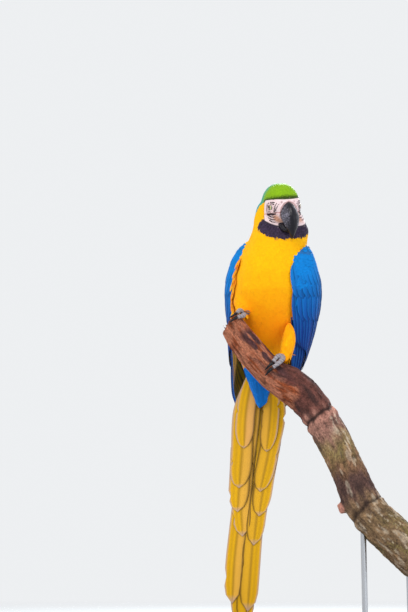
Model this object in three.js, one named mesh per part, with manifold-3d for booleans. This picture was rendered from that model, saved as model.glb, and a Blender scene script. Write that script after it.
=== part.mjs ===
// A life-size blue-and-yellow macaw as a still display model. It sits on a short cut length of
// branch, which two rods hold above a flat stand.
// Millimetres, +Z up. The origin is the middle of the stand base's underside, and the bird
// looks towards -Y. "Left" and "right" are the bird's own.
import * as THREE from "three";
import { ParametricGeometry } from "three/addons/geometries/ParametricGeometry.js";
import { mergeVertices } from "three/addons/utils/BufferGeometryUtils.js";
import Module from "manifold-3d";

const wasm = await Module();
wasm.setup();

// ---------------------------------------------------------------- driving dimensions
const GAP = 0.35; // clearance between neighbouring pieces
const TAIL_TIP_Z = 33; // end of the longest tail feathers

const BODY_YAW = 18; // degrees that the breast is turned to the bird's right
const RUMP_TURN = 0.5; // share of that turn at the rump
const HEAD_YAW = 17; // degrees that the head is turned to the bird's left of straight ahead
const HEAD_PITCH = 24; // degrees that the bill points down
const HEAD_ROLL = -8; // degrees that the crown leans to the bird's right
const HEAD_CENTRE = new THREE.Vector3(-89.5, -57, 779);

const EYE_RADIUS = 7;
const EYE_AT = { forward: 17, side: 22.8, up: 4 };

const TOE_RADIUS = 4.8;
const CLAW_LENGTH = 19;

const BASE_LENGTH = 400;
const BASE_DEPTH = 280;
const BASE_THICKNESS = 16;
const BASE_CORNER = 60;
const BASE_BEVEL = 2;
const ROD_RADIUS = 5;
const ROD_DEPTH_IN_BRANCH = 16;

// ---------------------------------------------------------------- small tools
const rad = THREE.MathUtils.degToRad;
const clamp = THREE.MathUtils.clamp;
const lerp = THREE.MathUtils.lerp;

// A smooth function through [place, value, value, ...] rows with rising places. It gives the
// list of values at any place, by cubic steps that keep each row's slope.
function through(rows) {
  const slope = (i, k) => {
    const a = rows[Math.max(i - 1, 0)];
    const b = rows[Math.min(i + 1, rows.length - 1)];
    return (b[k] - a[k]) / (b[0] - a[0]);
  };
  return (place) => {
    const at = clamp(place, rows[0][0], rows[rows.length - 1][0]);
    let i = 0;
    while (i < rows.length - 2 && at > rows[i + 1][0]) {
      i += 1;
    }
    const span = rows[i + 1][0] - rows[i][0];
    const t = (at - rows[i][0]) / span;
    const t2 = t * t;
    const t3 = t2 * t;
    return rows[i].slice(1).map((from, j) => {
      const k = j + 1;
      const to = rows[i + 1][k];
      return (
        (2 * t3 - 3 * t2 + 1) * from +
        (t3 - 2 * t2 + t) * span * slope(i, k) +
        (3 * t2 - 2 * t3) * to +
        (t3 - t2) * span * slope(i + 1, k)
      );
    });
  };
}

// A closed surface: place(around, along) gives a point for two numbers from 0 to 1, and each
// end ring is drawn together at its middle.
function closedSurface(place, aroundSteps, alongSteps) {
  const rings = alongSteps + 2;
  return new ParametricGeometry(
    (u, v, target) => {
      const step = Math.round(v * rings);
      const along = clamp((step - 1) / alongSteps, 0, 1);
      if (step > 0 && step < rings) {
        target.copy(place(u % 1, along));
        return;
      }
      target.set(0, 0, 0);
      for (let i = 0; i < aroundSteps; i += 1) {
        target.add(place(i / aroundSteps, along));
      }
      target.divideScalar(aroundSteps);
    },
    aroundSteps,
    rings,
  );
}

// A geometry as a solid that can be joined and cut.
function solid(geometry, matrix = new THREE.Matrix4()) {
  const bare = new THREE.BufferGeometry()
    .setAttribute("position", geometry.getAttribute("position").clone())
    .setIndex(geometry.index ? geometry.index.clone() : null)
    .applyMatrix4(matrix);
  const merged = mergeVertices(bare, 1e-3);
  const index = merged.index.array;
  const kept = [];
  for (let i = 0; i < index.length; i += 3) {
    const [a, b, c] = [index[i], index[i + 1], index[i + 2]];
    if (a !== b && b !== c && a !== c) {
      kept.push(a, b, c);
    }
  }
  const shape = (triVerts) =>
    new wasm.Manifold(
      new wasm.Mesh({
        numProp: 3,
        vertProperties: merged.attributes.position.array,
        triVerts: new Uint32Array(triVerts),
      }),
    );
  const made = shape(kept);
  return made.volume() > 0 ? made : shape(kept.reverse());
}

const joined = (solids) => solids.reduce((a, b) => a.add(b));
const without = (body, ...cutters) => cutters.reduce((a, b) => a.subtract(b), body);

// The largest single body of a solid, so that a cut leaves no loose slivers.
function mainBody(shape) {
  return shape.decompose().reduce((a, b) => (a.volume() > b.volume() ? a : b));
}

// A large block on the side of a plane that its normal points to.
function halfSpace(point, normal) {
  const size = 3000;
  const turn = new THREE.Quaternion().setFromUnitVectors(
    new THREE.Vector3(0, 0, 1),
    normal.clone().normalize(),
  );
  const centre = point.clone().addScaledVector(normal.clone().normalize(), size / 2);
  return solid(
    new THREE.BoxGeometry(size, size, size),
    new THREE.Matrix4().compose(centre, turn, new THREE.Vector3(1, 1, 1)),
  );
}

// Splits a solid across a plane, leaving the gap between its two sides.
function split(shape, point, normal) {
  const shift = normal.clone().normalize().multiplyScalar(GAP / 2);
  const above = halfSpace(point.clone().add(shift), normal);
  const below = halfSpace(point.clone().sub(shift), normal.clone().negate());
  return [shape.intersect(above), shape.intersect(below)];
}

// ---------------------------------------------------------------- trunk and neck
// Level sections from the tail root up into the head: height, middle x and y, half width,
// and the reach to the front and to the back. The feather coat is included.
const TRUNK = through([
  [432, -124, 54, 3, 3, 4],
  [440, -124, 54, 10, 8, 9],
  [456, -125, 55, 18, 14, 14],
  [486, -124, 52, 28, 22, 20],
  [510, -121, 46, 40, 31, 27],
  [530, -119, 38, 50, 38, 34],
  [575, -115, 20, 61, 50, 46],
  [635, -112, -8, 66, 58, 58],
  [685, -107, -24, 60, 50, 58],
  [715, -97, -33, 53, 40, 54],
  [742, -90, -38, 49.5, 32, 48],
  [760, -93, -40, 44, 29, 44],
  [781, -96, -44, 35.5, 26, 38],
  [800, -95, -47, 22, 18, 26],
]);
const TRUNK_LOW = 432;
const TRUNK_HIGH = 800;

// The middle of the bird at a height, carried on below the trunk along the tail.
const TAIL_AXIS = through([
  [TAIL_TIP_Z, -167, 99],
  [200, -156, 76],
  [352, -137, 63],
  [TRUNK_LOW, -126, 61],
  [492, -124, 60],
]);
function middle(z) {
  const [x, y] = z > TRUNK_LOW ? TRUNK(z) : TAIL_AXIS(z);
  return new THREE.Vector3(x, y, z);
}

// A point beside the bird's middle: side is to its left, ahead is towards its breast. The
// rump and the wing tips are turned less than the breast.
function beside(z, side, ahead) {
  const turn = rad(BODY_YAW) * lerp(RUMP_TURN, 1, clamp((z - TRUNK_LOW) / 160, 0, 1));
  const leftward = new THREE.Vector3(Math.cos(turn), -Math.sin(turn), 0);
  const forward = new THREE.Vector3(-Math.sin(turn), -Math.cos(turn), 0);
  return middle(z).addScaledVector(leftward, side).addScaledVector(forward, ahead);
}

function trunkSurface(grow) {
  return closedSurface(
    (around, along) => {
      const ease = (1 - Math.cos(Math.PI * along)) / 2;
      const z = lerp(TRUNK_LOW - grow, TRUNK_HIGH + grow, lerp(along, ease, 0.35));
      const [, , half, front, back] = TRUNK(z);
      const angle = 2 * Math.PI * around;
      const ahead = Math.cos(angle);
      const reach = (ahead > 0 ? front : back) + grow;
      return beside(z, (half + grow) * Math.sin(angle), reach * ahead);
    },
    22,
    15,
  );
}

// ---------------------------------------------------------------- head
const headTurn = new THREE.Matrix4().makeBasis(
  new THREE.Vector3(Math.cos(rad(HEAD_YAW)), Math.sin(rad(HEAD_YAW)), 0),
  new THREE.Vector3(-Math.sin(rad(HEAD_YAW)), Math.cos(rad(HEAD_YAW)), 0),
  new THREE.Vector3(0, 0, 1),
);
const headFrame = new THREE.Matrix4()
  .makeTranslation(HEAD_CENTRE)
  .multiply(headTurn)
  .multiply(new THREE.Matrix4().makeRotationX(rad(HEAD_PITCH)))
  .multiply(new THREE.Matrix4().makeRotationY(rad(HEAD_ROLL)));

// A point of the head, in its own directions.
function onHead(ahead, side, up) {
  return new THREE.Vector3(side, -ahead, up).applyMatrix4(headFrame);
}

// Sections from the back of the head to the face: place, half width, reach up and down.
const HEAD = through([
  [-45, 4, 4, 4],
  [-40, 15, 17, 17],
  [-28, 26, 32, 29],
  [-10, 31, 41.5, 37],
  [8, 31, 41, 36],
  [22, 26.5, 32, 30],
  [32, 19.5, 23, 20],
  [38, 13, 14, 12],
]);

function headSurface(grow) {
  return closedSurface(
    (around, along) => {
      const ahead = lerp(-45 - grow, 38 + grow, along);
      const [half, up, down] = HEAD(ahead);
      const angle = 2 * Math.PI * around;
      const rise = Math.sin(angle);
      const across = Math.cos(angle);
      const out = Math.sign(across) * Math.abs(across) ** (rise > 0 ? 0.8 : 1);
      return onHead(ahead, (half + grow) * out, ((rise > 0 ? up : down) + grow) * rise);
    },
    18,
    10,
  );
}

function eyeSurface(side, grow) {
  const centre = onHead(EYE_AT.forward, side * EYE_AT.side, EYE_AT.up);
  return solid(
    new THREE.SphereGeometry(EYE_RADIUS + grow, 12, 8),
    new THREE.Matrix4().makeTranslation(centre),
  );
}

// ---------------------------------------------------------------- bill
// Sections along the upper bill's middle line, in the head's own directions: distance along,
// ahead, up, half height across the line, half width.
const UPPER_BILL = through([
  [0, 28, -1, 17, 13.5],
  [0.2, 40, -3, 18, 14.2],
  [0.4, 50, -10.5, 15.5, 12.5],
  [0.6, 56, -22, 11, 9.3],
  [0.8, 58.5, -34, 6.8, 5.8],
  [0.93, 57.5, -42.5, 3.4, 3],
  [1, 56, -47.5, 0.8, 0.8],
]);
// The lower bill, a short scoop under the hook.
const LOWER_BILL = through([
  [0, 18, -24, 11, 14],
  [0.4, 30, -31, 11, 13],
  [0.75, 40, -34.5, 8.5, 11],
  [1, 47, -33.5, 4, 7.5],
]);

// A bill half: rounded above its middle line and drawn in below it.
function billSurface(line, grow, steps) {
  return closedSurface(
    (around, along) => {
      const [ahead, up, deep, wide] = line(along);
      const [ahead1, up1] = line(Math.min(along + 0.01, 1));
      const [ahead0, up0] = line(Math.max(along - 0.01, 0));
      const run = Math.hypot(ahead1 - ahead0, up1 - up0);
      const normalAhead = -(up1 - up0) / run;
      const normalUp = (ahead1 - ahead0) / run;
      const angle = 2 * Math.PI * around;
      const out = (deep + grow) * Math.sin(angle);
      return onHead(
        ahead + normalAhead * out,
        (wide + grow) * Math.cos(angle),
        up + normalUp * out,
      );
    },
    12,
    steps,
  );
}

// ---------------------------------------------------------------- wings
// Level sections of the left wing from its tip up to the wrist. Each has four places on the
// outside, as side and ahead of the bird's middle: the leading edge, the widest place, the
// rear and the trailing edge. The last number is the thickness.
const WING = through([
  [418, 40, -8, 44, -10, 42, -14, 34, -18, 2],
  [450, 54, -6, 59, -14, 48, -26, 24, -30, 5],
  [474, 60, 0, 68, -16, 56, -35, 12, -38, 8],
  [503, 62, 10, 75, -12, 62, -44, 6, -48, 11],
  [547, 62, 26, 85, -6, 70, -50, 4, -60, 15],
  [583, 60, 34, 91, -2, 76, -50, 5, -67, 18],
  [620, 58, 38, 95, 2, 80, -48, 6, -72, 21],
  [656, 56, 36, 92, 6, 78, -42, 14, -70, 22],
  [693, 53, 32, 80, 12, 70, -26, 36, -54, 19],
  [708, 54, 24, 70, 14, 64, -12, 48, -34, 14],
  [716, 57, 14, 63, 10, 60, -4, 55, -14, 8],
]);
// The right wing is held closer, further back and a little higher than the left one. Each row:
// height, share of the left wing's reach to the side, and how far the leading edge goes back.
const WINGS = [
  { name: "left", side: 1, low: 424, high: 708, hold: through([[418, 1, 0], [716, 1, 0]]) },
  {
    name: "right",
    side: -1,
    low: 426,
    high: 722,
    hold: through([
      [418, 1.12, 0],
      [474, 0.94, 0],
      [560, 0.88, 8],
      [620, 0.88, 12],
      [716, 0.9, 12],
    ]),
  },
];
const WING_LOW = 418;
const WING_HIGH = 716;
const SECTION_STEPS = 8;

function wingSurface({ side, low, high, hold }) {
  return closedSurface(
    (around, along) => {
      const ease = (1 - Math.cos(Math.PI * along)) / 2;
      const level = lerp(WING_LOW, WING_HIGH, lerp(along, ease, 0.5));
      const z = THREE.MathUtils.mapLinear(level, WING_LOW, WING_HIGH, low, high);
      const s = WING(level);
      const [spread, back] = hold(level);
      const outline = new THREE.CatmullRomCurve3(
        [0, 2, 4, 6].map((i) => beside(z, side * spread * s[i], s[i + 1] - (i === 0 ? back : 0))),
      );
      const onOutside = around < 0.5;
      const chord = onOutside ? around * 2 : 2 - around * 2;
      const point = outline.getPoint(chord);
      if (onOutside) return point;
      const inward = middle(z).sub(point).setZ(0).normalize();
      const blunt = Math.sqrt(1 - (1 - Math.min(chord / 0.16, 1)) ** 2);
      const thin = Math.min((1 - chord) / 0.06, 1);
      return point.addScaledVector(inward, s[8] * blunt * thin * (1 - 0.8 * chord) + 0.01);
    },
    2 * SECTION_STEPS,
    13,
  );
}

// ---------------------------------------------------------------- tail
// The feathers of each side from the outermost to the innermost: how far the root is from the
// middle, x and z of places on the way to the tip, half width, and how far the blade lies in
// front of the tail's middle plane.
const TAIL_FEATHERS = [
  { side: -1, root: 17, line: [[-153, 420], [-157, 355]], half: 17.5, layer: 6 },
  { side: -1, root: 15, line: [[-157, 420], [-161, 343], [-166, 283]], half: 20, layer: 4 },
  { side: -1, root: 12, line: [[-158, 400], [-165, 298], [-169, 240]], half: 19, layer: 2 },
  { side: -1, root: 9, line: [[-161.5, 262], [-160, 196]], half: 17, layer: 0 },
  { side: -1, root: 6, line: [[-173, 170], [-179, 76]], half: 16, layer: -2 },
  { side: -1, root: 3, line: [[-160, 170], [-167, TAIL_TIP_Z + 8]], half: 16, layer: -4 },
  { side: 1, root: 17, line: [[-108, 420], [-116, 348]], half: 16, layer: 6 },
  { side: 1, root: 15, line: [[-98, 420], [-113, 343], [-128, 276]], half: 18, layer: 4 },
  { side: 1, root: 12, line: [[-103, 400], [-121, 289], [-130, 232]], half: 17.5, layer: 2 },
  { side: 1, root: 9, line: [[-108, 380], [-132, 244], [-140, 180]], half: 17, layer: 0 },
  { side: 1, root: 6, line: [[-144, 154], [-151, 62]], half: 17, layer: -2 },
  { side: 1, root: 3, line: [[-150, 170], [-157, TAIL_TIP_Z]], half: 16, layer: -4 },
];
const TAIL_ROOT_Z = 492;
const VANE_THICKNESS = 3.2;
const TIP_ROUNDING = 42; // length over which a feather narrows to its tip
const TAIL_YAW = 0.16; // how far the bird's left side of the tail comes forward

function tailBlade({ side, root, line, half, layer }, grow) {
  const places = [[TAIL_AXIS(TAIL_ROOT_Z)[0] + side * root, TAIL_ROOT_Z], ...line];
  const middleLine = through(places.map(([x, z]) => [z, x]).reverse());
  const tipZ = places[places.length - 1][1];
  return closedSurface(
    (around, along) => {
      const reach = 1 - (1 - along) ** 1.7;
      const z = lerp(TAIL_ROOT_Z + grow, tipZ - grow, reach);
      const left = clamp((z - tipZ) / TIP_ROUNDING, 0, 1);
      const fromRoot = clamp((TAIL_ROOT_Z - z) / 90, 0, 1);
      const widening = 0.55 + 0.45 * Math.sin((fromRoot * Math.PI) / 2);
      const width = Math.max(widening * (1 - (1 - left) ** 2.2) ** 0.6, 0.1);
      const [axisX, axisY] = TAIL_AXIS(z);
      const x = middleLine(z)[0] + (half * width + grow) * Math.cos(2 * Math.PI * around);
      const thick = (VANE_THICKNESS / 2 + grow) * Math.sin(2 * Math.PI * around);
      return new THREE.Vector3(x, axisY - layer - TAIL_YAW * (x - axisX) + thick, z);
    },
    4,
    7,
  );
}

function tailSolid(grow) {
  return joined(TAIL_FEATHERS.map((feather) => solid(tailBlade(feather, grow))));
}

// ---------------------------------------------------------------- branch
// The branch's middle line from its broken upper end down to the sawn one, and its radius.
const BRANCH_LINE = new THREE.CatmullRomCurve3(
  [
    [-184, -38, 570],
    [-157, -38, 531.5],
    [-129, -38, 498],
    [-101, -38, 471],
    [-77.5, -38, 458.5],
    [-52, -38, 438],
    [-30.5, -40, 410.5],
    [8, -44, 340],
    [26, -48, 297.5],
    [46, -52, 247],
    [69.5, -56, 218],
    [103, -60, 186.5],
    [146, -66, 145],
  ].map(([x, y, z]) => new THREE.Vector3(x, y, z)),
);
const BRANCH_RADIUS = through([
  [0, 22.5],
  [0.09, 27],
  [0.17, 27.3],
  [0.24, 29],
  [0.29, 34],
  [0.35, 32],
  [0.41, 29.6],
  [0.49, 31],
  [0.56, 29.6],
  [0.64, 30.3],
  [0.74, 33.6],
  [0.89, 35.6],
  [1, 36.5],
]);
const BRANCH_LENGTH = BRANCH_LINE.getLength();

// The branch's own directions at a share of its length: along it, up and to the front. A share
// just outside 0 to 1 lies straight beyond the end.
function branchFrame(share) {
  const inside = clamp(share, 0, 1);
  const down = BRANCH_LINE.getTangentAt(inside);
  const at = BRANCH_LINE.getPointAt(inside).addScaledVector(down, (share - inside) * BRANCH_LENGTH);
  const up = new THREE.Vector3(0, 0, 1).addScaledVector(down, -down.z).normalize();
  const front = new THREE.Vector3().crossVectors(up, down).normalize();
  if (front.y > 0) {
    front.negate();
  }
  return { at, down, up, front, radius: BRANCH_RADIUS(share)[0] };
}

// A point beside the branch: the angle goes from its top (0) over its front (90 degrees).
function onBranch(share, angle, out) {
  const { at, up, front, radius } = branchFrame(share);
  return at
    .clone()
    .addScaledVector(up, (radius + out) * Math.cos(angle))
    .addScaledVector(front, (radius + out) * Math.sin(angle));
}

function branchSurface(grow) {
  return closedSurface(
    (around, along) => {
      const angle = 2 * Math.PI * around;
      const knurl = 0.5 * Math.sin(3 * angle + 9 * along) + 0.4 * Math.sin(5 * angle - 23 * along);
      const brokenEnd = (-1 - 9 * Math.cos(angle) + 2 * Math.sin(3 * angle)) * (1 - along / 0.05);
      const beyond = Number(along === 1) - Number(along === 0);
      const shift = (along < 0.05 ? brokenEnd : 0) + grow * beyond;
      return onBranch(along, angle, grow + knurl).addScaledVector(branchFrame(along).down, shift);
    },
    16,
    18,
  );
}

// The stump of a side shoot on the branch's lower side.
function knot() {
  const foot = onBranch(0.72, rad(165), -12);
  const end = onBranch(0.72, rad(165), 8);
  const turn = new THREE.Quaternion().setFromUnitVectors(
    new THREE.Vector3(0, 1, 0),
    end.clone().sub(foot).normalize(),
  );
  return solid(
    new THREE.CylinderGeometry(8.5, 13, foot.distanceTo(end), 10),
    new THREE.Matrix4().compose(foot.clone().lerp(end, 0.5), turn, new THREE.Vector3(1, 1, 1)),
  );
}

// ---------------------------------------------------------------- legs and feet
// Four toes: two over the branch's front, two behind it. Each starts at a hub on top of the
// branch and runs round to an angle, drifting along the branch as it goes.
const TOES = [
  { name: "2", end: 68, drift: -6, thick: 0.92 },
  { name: "3", end: 82, drift: 5.5, thick: 1 },
  { name: "1", end: -48, drift: -7, thick: 0.88 },
  { name: "4", end: -66, drift: 6, thick: 0.96 },
];
const FEET = [
  { side: "left", share: 0.201, hub: -2, wrap: 0.97, thighTop: [-77, -34, 563], thighHalf: 14 },
  { side: "right", share: -0.002, hub: -8, wrap: 0.7, thighTop: [-166, -12, 624], thighHalf: 15 },
];

// Where a toe's middle line is, from its hub (0) to its last joint (1).
function toeLine(foot, toe, t) {
  const from = rad(foot.hub + Math.sign(toe.end) * 4);
  const angle = lerp(from, rad(toe.end) * foot.wrap, t);
  const share = foot.share + (toe.drift * Math.sin(0.8 * Math.PI * t)) / BRANCH_LENGTH;
  return onBranch(share, angle, TOE_RADIUS + 1.2 + 2.2 * (1 - t));
}

function tubeAlong(lineAt, radiusAt, aroundSteps, alongSteps) {
  return closedSurface(
    (around, along) => {
      const here = lineAt(along);
      const run = lineAt(Math.min(along + 0.02, 1)).sub(lineAt(Math.max(along - 0.02, 0)));
      const side = new THREE.Vector3().crossVectors(run, new THREE.Vector3(1, 0.2, 0.6));
      side.normalize();
      const out = new THREE.Vector3().crossVectors(side, run).normalize();
      const angle = 2 * Math.PI * around;
      return here
        .addScaledVector(side, radiusAt(along) * Math.cos(angle))
        .addScaledVector(out, radiusAt(along) * Math.sin(angle));
    },
    aroundSteps,
    alongSteps,
  );
}

const ANKLE_HEIGHT = 30;

function footSolid(foot, branchRoom) {
  const toes = TOES.map((toe) =>
    solid(
      tubeAlong(
        (t) => toeLine(foot, toe, t),
        (t) => TOE_RADIUS * toe.thick * (1 - 0.22 * t) * (1 + 0.07 * Math.cos(6 * Math.PI * t)),
        6,
        5,
      ),
    ),
  );
  const hub = onBranch(foot.share, rad(foot.hub), TOE_RADIUS + 1);
  const ankle = onBranch(foot.share, rad(foot.hub - 10), TOE_RADIUS + ANKLE_HEIGHT);
  const shank = solid(
    tubeAlong(
      (t) => hub.clone().lerp(ankle, t),
      (t) => lerp(7.5, 6, t),
      8,
      2,
    ),
  );
  return without(joined([...toes, shank]), branchRoom);
}

// A claw: it carries on from the toe and bends in to the bark.
function clawSolid(foot, toe) {
  const turn = Math.sign(toe.end);
  return solid(
    tubeAlong(
      (t) => {
        const share = foot.share + (toe.drift * Math.sin(0.8 * Math.PI)) / BRANCH_LENGTH;
        const angle = rad(toe.end) * foot.wrap + (turn * (GAP + 2.5 + CLAW_LENGTH * t)) / 33;
        const lift = 2.2 * Math.sin(Math.PI * Math.min(t * 0.8 + 0.2, 1));
        return onBranch(share, angle, lerp(TOE_RADIUS * 0.8, 1.4, t * t) + lift);
      },
      (t) => lerp(3.3, 0.5, t) * toe.thick,
      6,
      4,
    ),
  );
}

// The feathered upper leg, down to just above the toes.
function thighSurface(foot) {
  const top = new THREE.Vector3(...foot.thighTop);
  const low = onBranch(foot.share, rad(foot.hub), 2 * TOE_RADIUS + 5);
  const radiusAt = through([
    [0, 0.35],
    [0.12, 0.8],
    [0.4, 1],
    [0.8, 0.72],
    [1, 0.42],
  ]);
  return tubeAlong(
    (t) => top.clone().lerp(low, t),
    (t) => foot.thighHalf * radiusAt(t)[0],
    12,
    8,
  );
}

// ---------------------------------------------------------------- stand
function baseGeometry() {
  const half = { x: BASE_LENGTH / 2 - BASE_BEVEL, y: BASE_DEPTH / 2 - BASE_BEVEL };
  const outline = new THREE.Shape();
  outline.moveTo(-half.x + BASE_CORNER, -half.y);
  outline.lineTo(half.x - BASE_CORNER, -half.y);
  outline.absarc(half.x - BASE_CORNER, -half.y + BASE_CORNER, BASE_CORNER, -Math.PI / 2, 0);
  outline.lineTo(half.x, half.y - BASE_CORNER);
  outline.absarc(half.x - BASE_CORNER, half.y - BASE_CORNER, BASE_CORNER, 0, Math.PI / 2);
  outline.lineTo(-half.x + BASE_CORNER, half.y);
  outline.absarc(-half.x + BASE_CORNER, half.y - BASE_CORNER, BASE_CORNER, Math.PI / 2, Math.PI);
  outline.lineTo(-half.x, -half.y + BASE_CORNER);
  outline.absarc(
    -half.x + BASE_CORNER,
    -half.y + BASE_CORNER,
    BASE_CORNER,
    Math.PI,
    1.5 * Math.PI,
  );
  return new THREE.ExtrudeGeometry(outline, {
    depth: BASE_THICKNESS - 2 * BASE_BEVEL,
    bevelThickness: BASE_BEVEL,
    bevelSize: BASE_BEVEL,
    bevelSegments: 1,
    curveSegments: 4,
  }).translate(0, 0, BASE_BEVEL);
}

// A rod stands on the base's top and ends inside the branch.
const RODS = [
  { name: "stand_rod_1", share: 0.735 },
  { name: "stand_rod_2", share: 0.935 },
];
function rodSolid({ share }, grow) {
  const { at } = branchFrame(share);
  const low = BASE_THICKNESS + GAP - grow;
  const high = at.z - BRANCH_RADIUS(share)[0] + ROD_DEPTH_IN_BRANCH + grow;
  const rod = new THREE.CylinderGeometry(ROD_RADIUS + grow, ROD_RADIUS + grow, high - low, 18);
  rod.rotateX(Math.PI / 2);
  return solid(rod, new THREE.Matrix4().makeTranslation(at.x, at.y, (low + high) / 2));
}

// ---------------------------------------------------------------- the pieces
const branchRoom = solid(branchSurface(GAP + 0.6));
const branch = without(
  solid(branchSurface(0)).add(knot()),
  ...RODS.map((rod) => rodSolid(rod, GAP)),
);

const tail = tailSolid(0);
const bodyRoom = solid(trunkSurface(GAP));
const headRoom = solid(headSurface(GAP));
const eyes = { left: eyeSurface(1, 0), right: eyeSurface(-1, 0) };

const upperBill = without(solid(billSurface(UPPER_BILL, 0, 10)), headRoom);
const upperBillRoom = solid(billSurface(UPPER_BILL, GAP, 10));
const lowerBill = without(solid(billSurface(LOWER_BILL, 0, 6)), headRoom, upperBillRoom, bodyRoom);
const billRoom = [upperBillRoom, solid(billSurface(LOWER_BILL, GAP, 6))];

const wholeBody = without(
  solid(trunkSurface(0)).add(solid(headSurface(0))),
  eyeSurface(1, GAP),
  eyeSurface(-1, GAP),
  branchRoom,
  tailSolid(GAP),
);
const headCut = {
  point: new THREE.Vector3(-92, -42, 752),
  normal: onHead(0.35, 0, 1).sub(onHead(0, 0, 0)),
};
const neckCut = { point: middle(716), normal: new THREE.Vector3(0, -0.25, 1) };
const [headPart, belowHead] = split(wholeBody, headCut.point, headCut.normal);
const [neckPart, trunkPart] = split(belowHead, neckCut.point, neckCut.normal);

const pieces = new Map();
pieces.set("head", [mainBody(headPart), 0x5f9a2c, 0.8]);
pieces.set("neck", [mainBody(without(neckPart, ...billRoom)), 0xf3ab10, 0.85]);
pieces.set("trunk", [mainBody(trunkPart), 0xf59f0c, 0.85]);
pieces.set("eye_left", [mainBody(eyes.left), 0xd9cf7a, 0.1]);
pieces.set("eye_right", [mainBody(eyes.right), 0xd9cf7a, 0.1]);
pieces.set("upper_bill", [mainBody(upperBill), 0x2a2a2e, 0.35]);
pieces.set("lower_bill", [mainBody(lowerBill), 0x242428, 0.4]);

const legs = [];
for (const foot of FEET) {
  const footBody = mainBody(footSolid(foot, branchRoom));
  const claws = TOES.map((toe) => [toe.name, without(clawSolid(foot, toe), branchRoom)]);
  const thigh = without(solid(thighSurface(foot)), bodyRoom, branchRoom);
  legs.push(thigh);
  const clawBodies = claws.map(([name, claw]) => [name, mainBody(without(claw, footBody))]);
  pieces.set(`thigh_${foot.side}`, [mainBody(thigh), 0xf6a810, 0.85]);
  pieces.set(`foot_${foot.side}`, [
    mainBody(without(footBody, solid(thighSurface(foot)), bodyRoom)),
    0x8d8b94,
    0.7,
  ]);
  for (const [name, claw] of clawBodies) {
    pieces.set(`claw_${foot.side}_${name}`, [claw, 0x1d1c20, 0.35]);
  }
}

const tailRoom = tailSolid(GAP);
for (const wing of WINGS) {
  const shape = without(solid(wingSurface(wing)), bodyRoom, branchRoom, tailRoom, ...legs);
  const [upper, lower] = split(
    mainBody(shape),
    beside(520, wing.side * 70, -40),
    new THREE.Vector3(0, -0.55, 1),
  );
  pieces.set(`wing_${wing.name}`, [mainBody(upper), 0x1f7fc4, 0.7]);
  pieces.set(`primaries_${wing.name}`, [mainBody(lower), 0x1650a4, 0.6]);
}
pieces.set("tail", [mainBody(tail), 0xd9a20c, 0.6]);
pieces.set("perch_branch", [mainBody(branch), 0x8a5a44, 0.9]);
pieces.set("stand_base", [solid(baseGeometry()), 0x4a4038, 0.5]);
for (const rod of RODS) {
  pieces.set(rod.name, [rodSolid(rod, 0), 0x8f9295, 0.3]);
}

// ---------------------------------------------------------------- the scene graph
const METAL = new Set(RODS.map((rod) => rod.name));
const macaw = new THREE.Group();
for (const [name, [shape, color, roughness]] of pieces) {
  const { vertProperties, triVerts } = shape.getMesh();
  const geometry = new THREE.BufferGeometry()
    .setAttribute("position", new THREE.BufferAttribute(vertProperties, 3))
    .setIndex(new THREE.BufferAttribute(triVerts, 1));
  geometry.computeVertexNormals();
  const metalness = METAL.has(name) ? 1 : 0;
  const material = new THREE.MeshStandardMaterial({ color, roughness, metalness });
  const mesh = new THREE.Mesh(geometry, material);
  mesh.name = name;
  macaw.add(mesh);
}

export default macaw;
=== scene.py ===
# %% [markdown]
# # A blue-and-yellow macaw on a display perch
# The bird is still and life size. Its solids come packed as a fixed frame: every piece made
# here is in metres in that frame, so it goes where the frame says, with no fitting. The
# lesson goes from the room and the light to the skin, the coat of feathers, the long
# feathers, the face, the feet and the perch.

# %% Load the frame
import math

import bmesh
import bpy
import numpy as np
from mathutils import Matrix, Vector, noise
from mathutils.bvhtree import BVHTree
from mathutils.kdtree import KDTree


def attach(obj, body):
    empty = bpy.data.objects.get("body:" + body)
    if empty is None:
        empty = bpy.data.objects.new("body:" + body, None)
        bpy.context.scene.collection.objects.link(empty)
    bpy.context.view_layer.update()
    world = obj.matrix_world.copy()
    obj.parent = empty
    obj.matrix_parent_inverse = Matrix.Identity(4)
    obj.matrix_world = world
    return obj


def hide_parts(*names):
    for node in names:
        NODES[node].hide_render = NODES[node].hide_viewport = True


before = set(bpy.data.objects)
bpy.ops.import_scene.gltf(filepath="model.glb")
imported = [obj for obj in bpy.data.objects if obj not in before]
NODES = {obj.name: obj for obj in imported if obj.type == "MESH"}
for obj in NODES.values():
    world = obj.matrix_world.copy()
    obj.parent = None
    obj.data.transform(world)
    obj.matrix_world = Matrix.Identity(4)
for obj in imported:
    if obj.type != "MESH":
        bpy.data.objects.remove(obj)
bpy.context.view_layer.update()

MM = 0.001
rng = np.random.default_rng(seed=7)

# %% [markdown]
# ## Smooth rules from a few rows
# A bird's body has no straight lines, but a few measured sections describe it. This helper
# turns rows of places and values into a smooth curve, for one place or for a whole array of
# them. It is used for the body's sections, the wings, the bill and the feathers' outlines.

# %% A smooth function through rows
def through(rows):
    rows = np.array(rows, float)
    at, value = rows[:, 0], rows[:, 1:]
    before = np.r_[0, np.arange(len(at) - 1)]
    after = np.r_[np.arange(1, len(at)), len(at) - 1]
    slope = (value[after] - value[before]) / (at[after] - at[before])[:, None]

    def smooth(place):
        place = np.clip(np.asarray(place, float), at[0], at[-1])
        i = np.clip(np.searchsorted(at, place, side="right") - 1, 0, len(at) - 2)
        span = (at[i + 1] - at[i])[..., None]
        t = (place - at[i])[..., None] / span
        return (
            (2 * t**3 - 3 * t**2 + 1) * value[i]
            + (t**3 - 2 * t**2 + t) * span * slope[i]
            + (3 * t**2 - 2 * t**3) * value[i + 1]
            + (t**3 - t**2) * span * slope[i + 1]
        )

    return smooth


def ring(distance, at, width):
    """A smooth bump of height 1 where the distance is near a value."""
    return np.exp(-(((distance - at) / width) ** 2))


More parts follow.
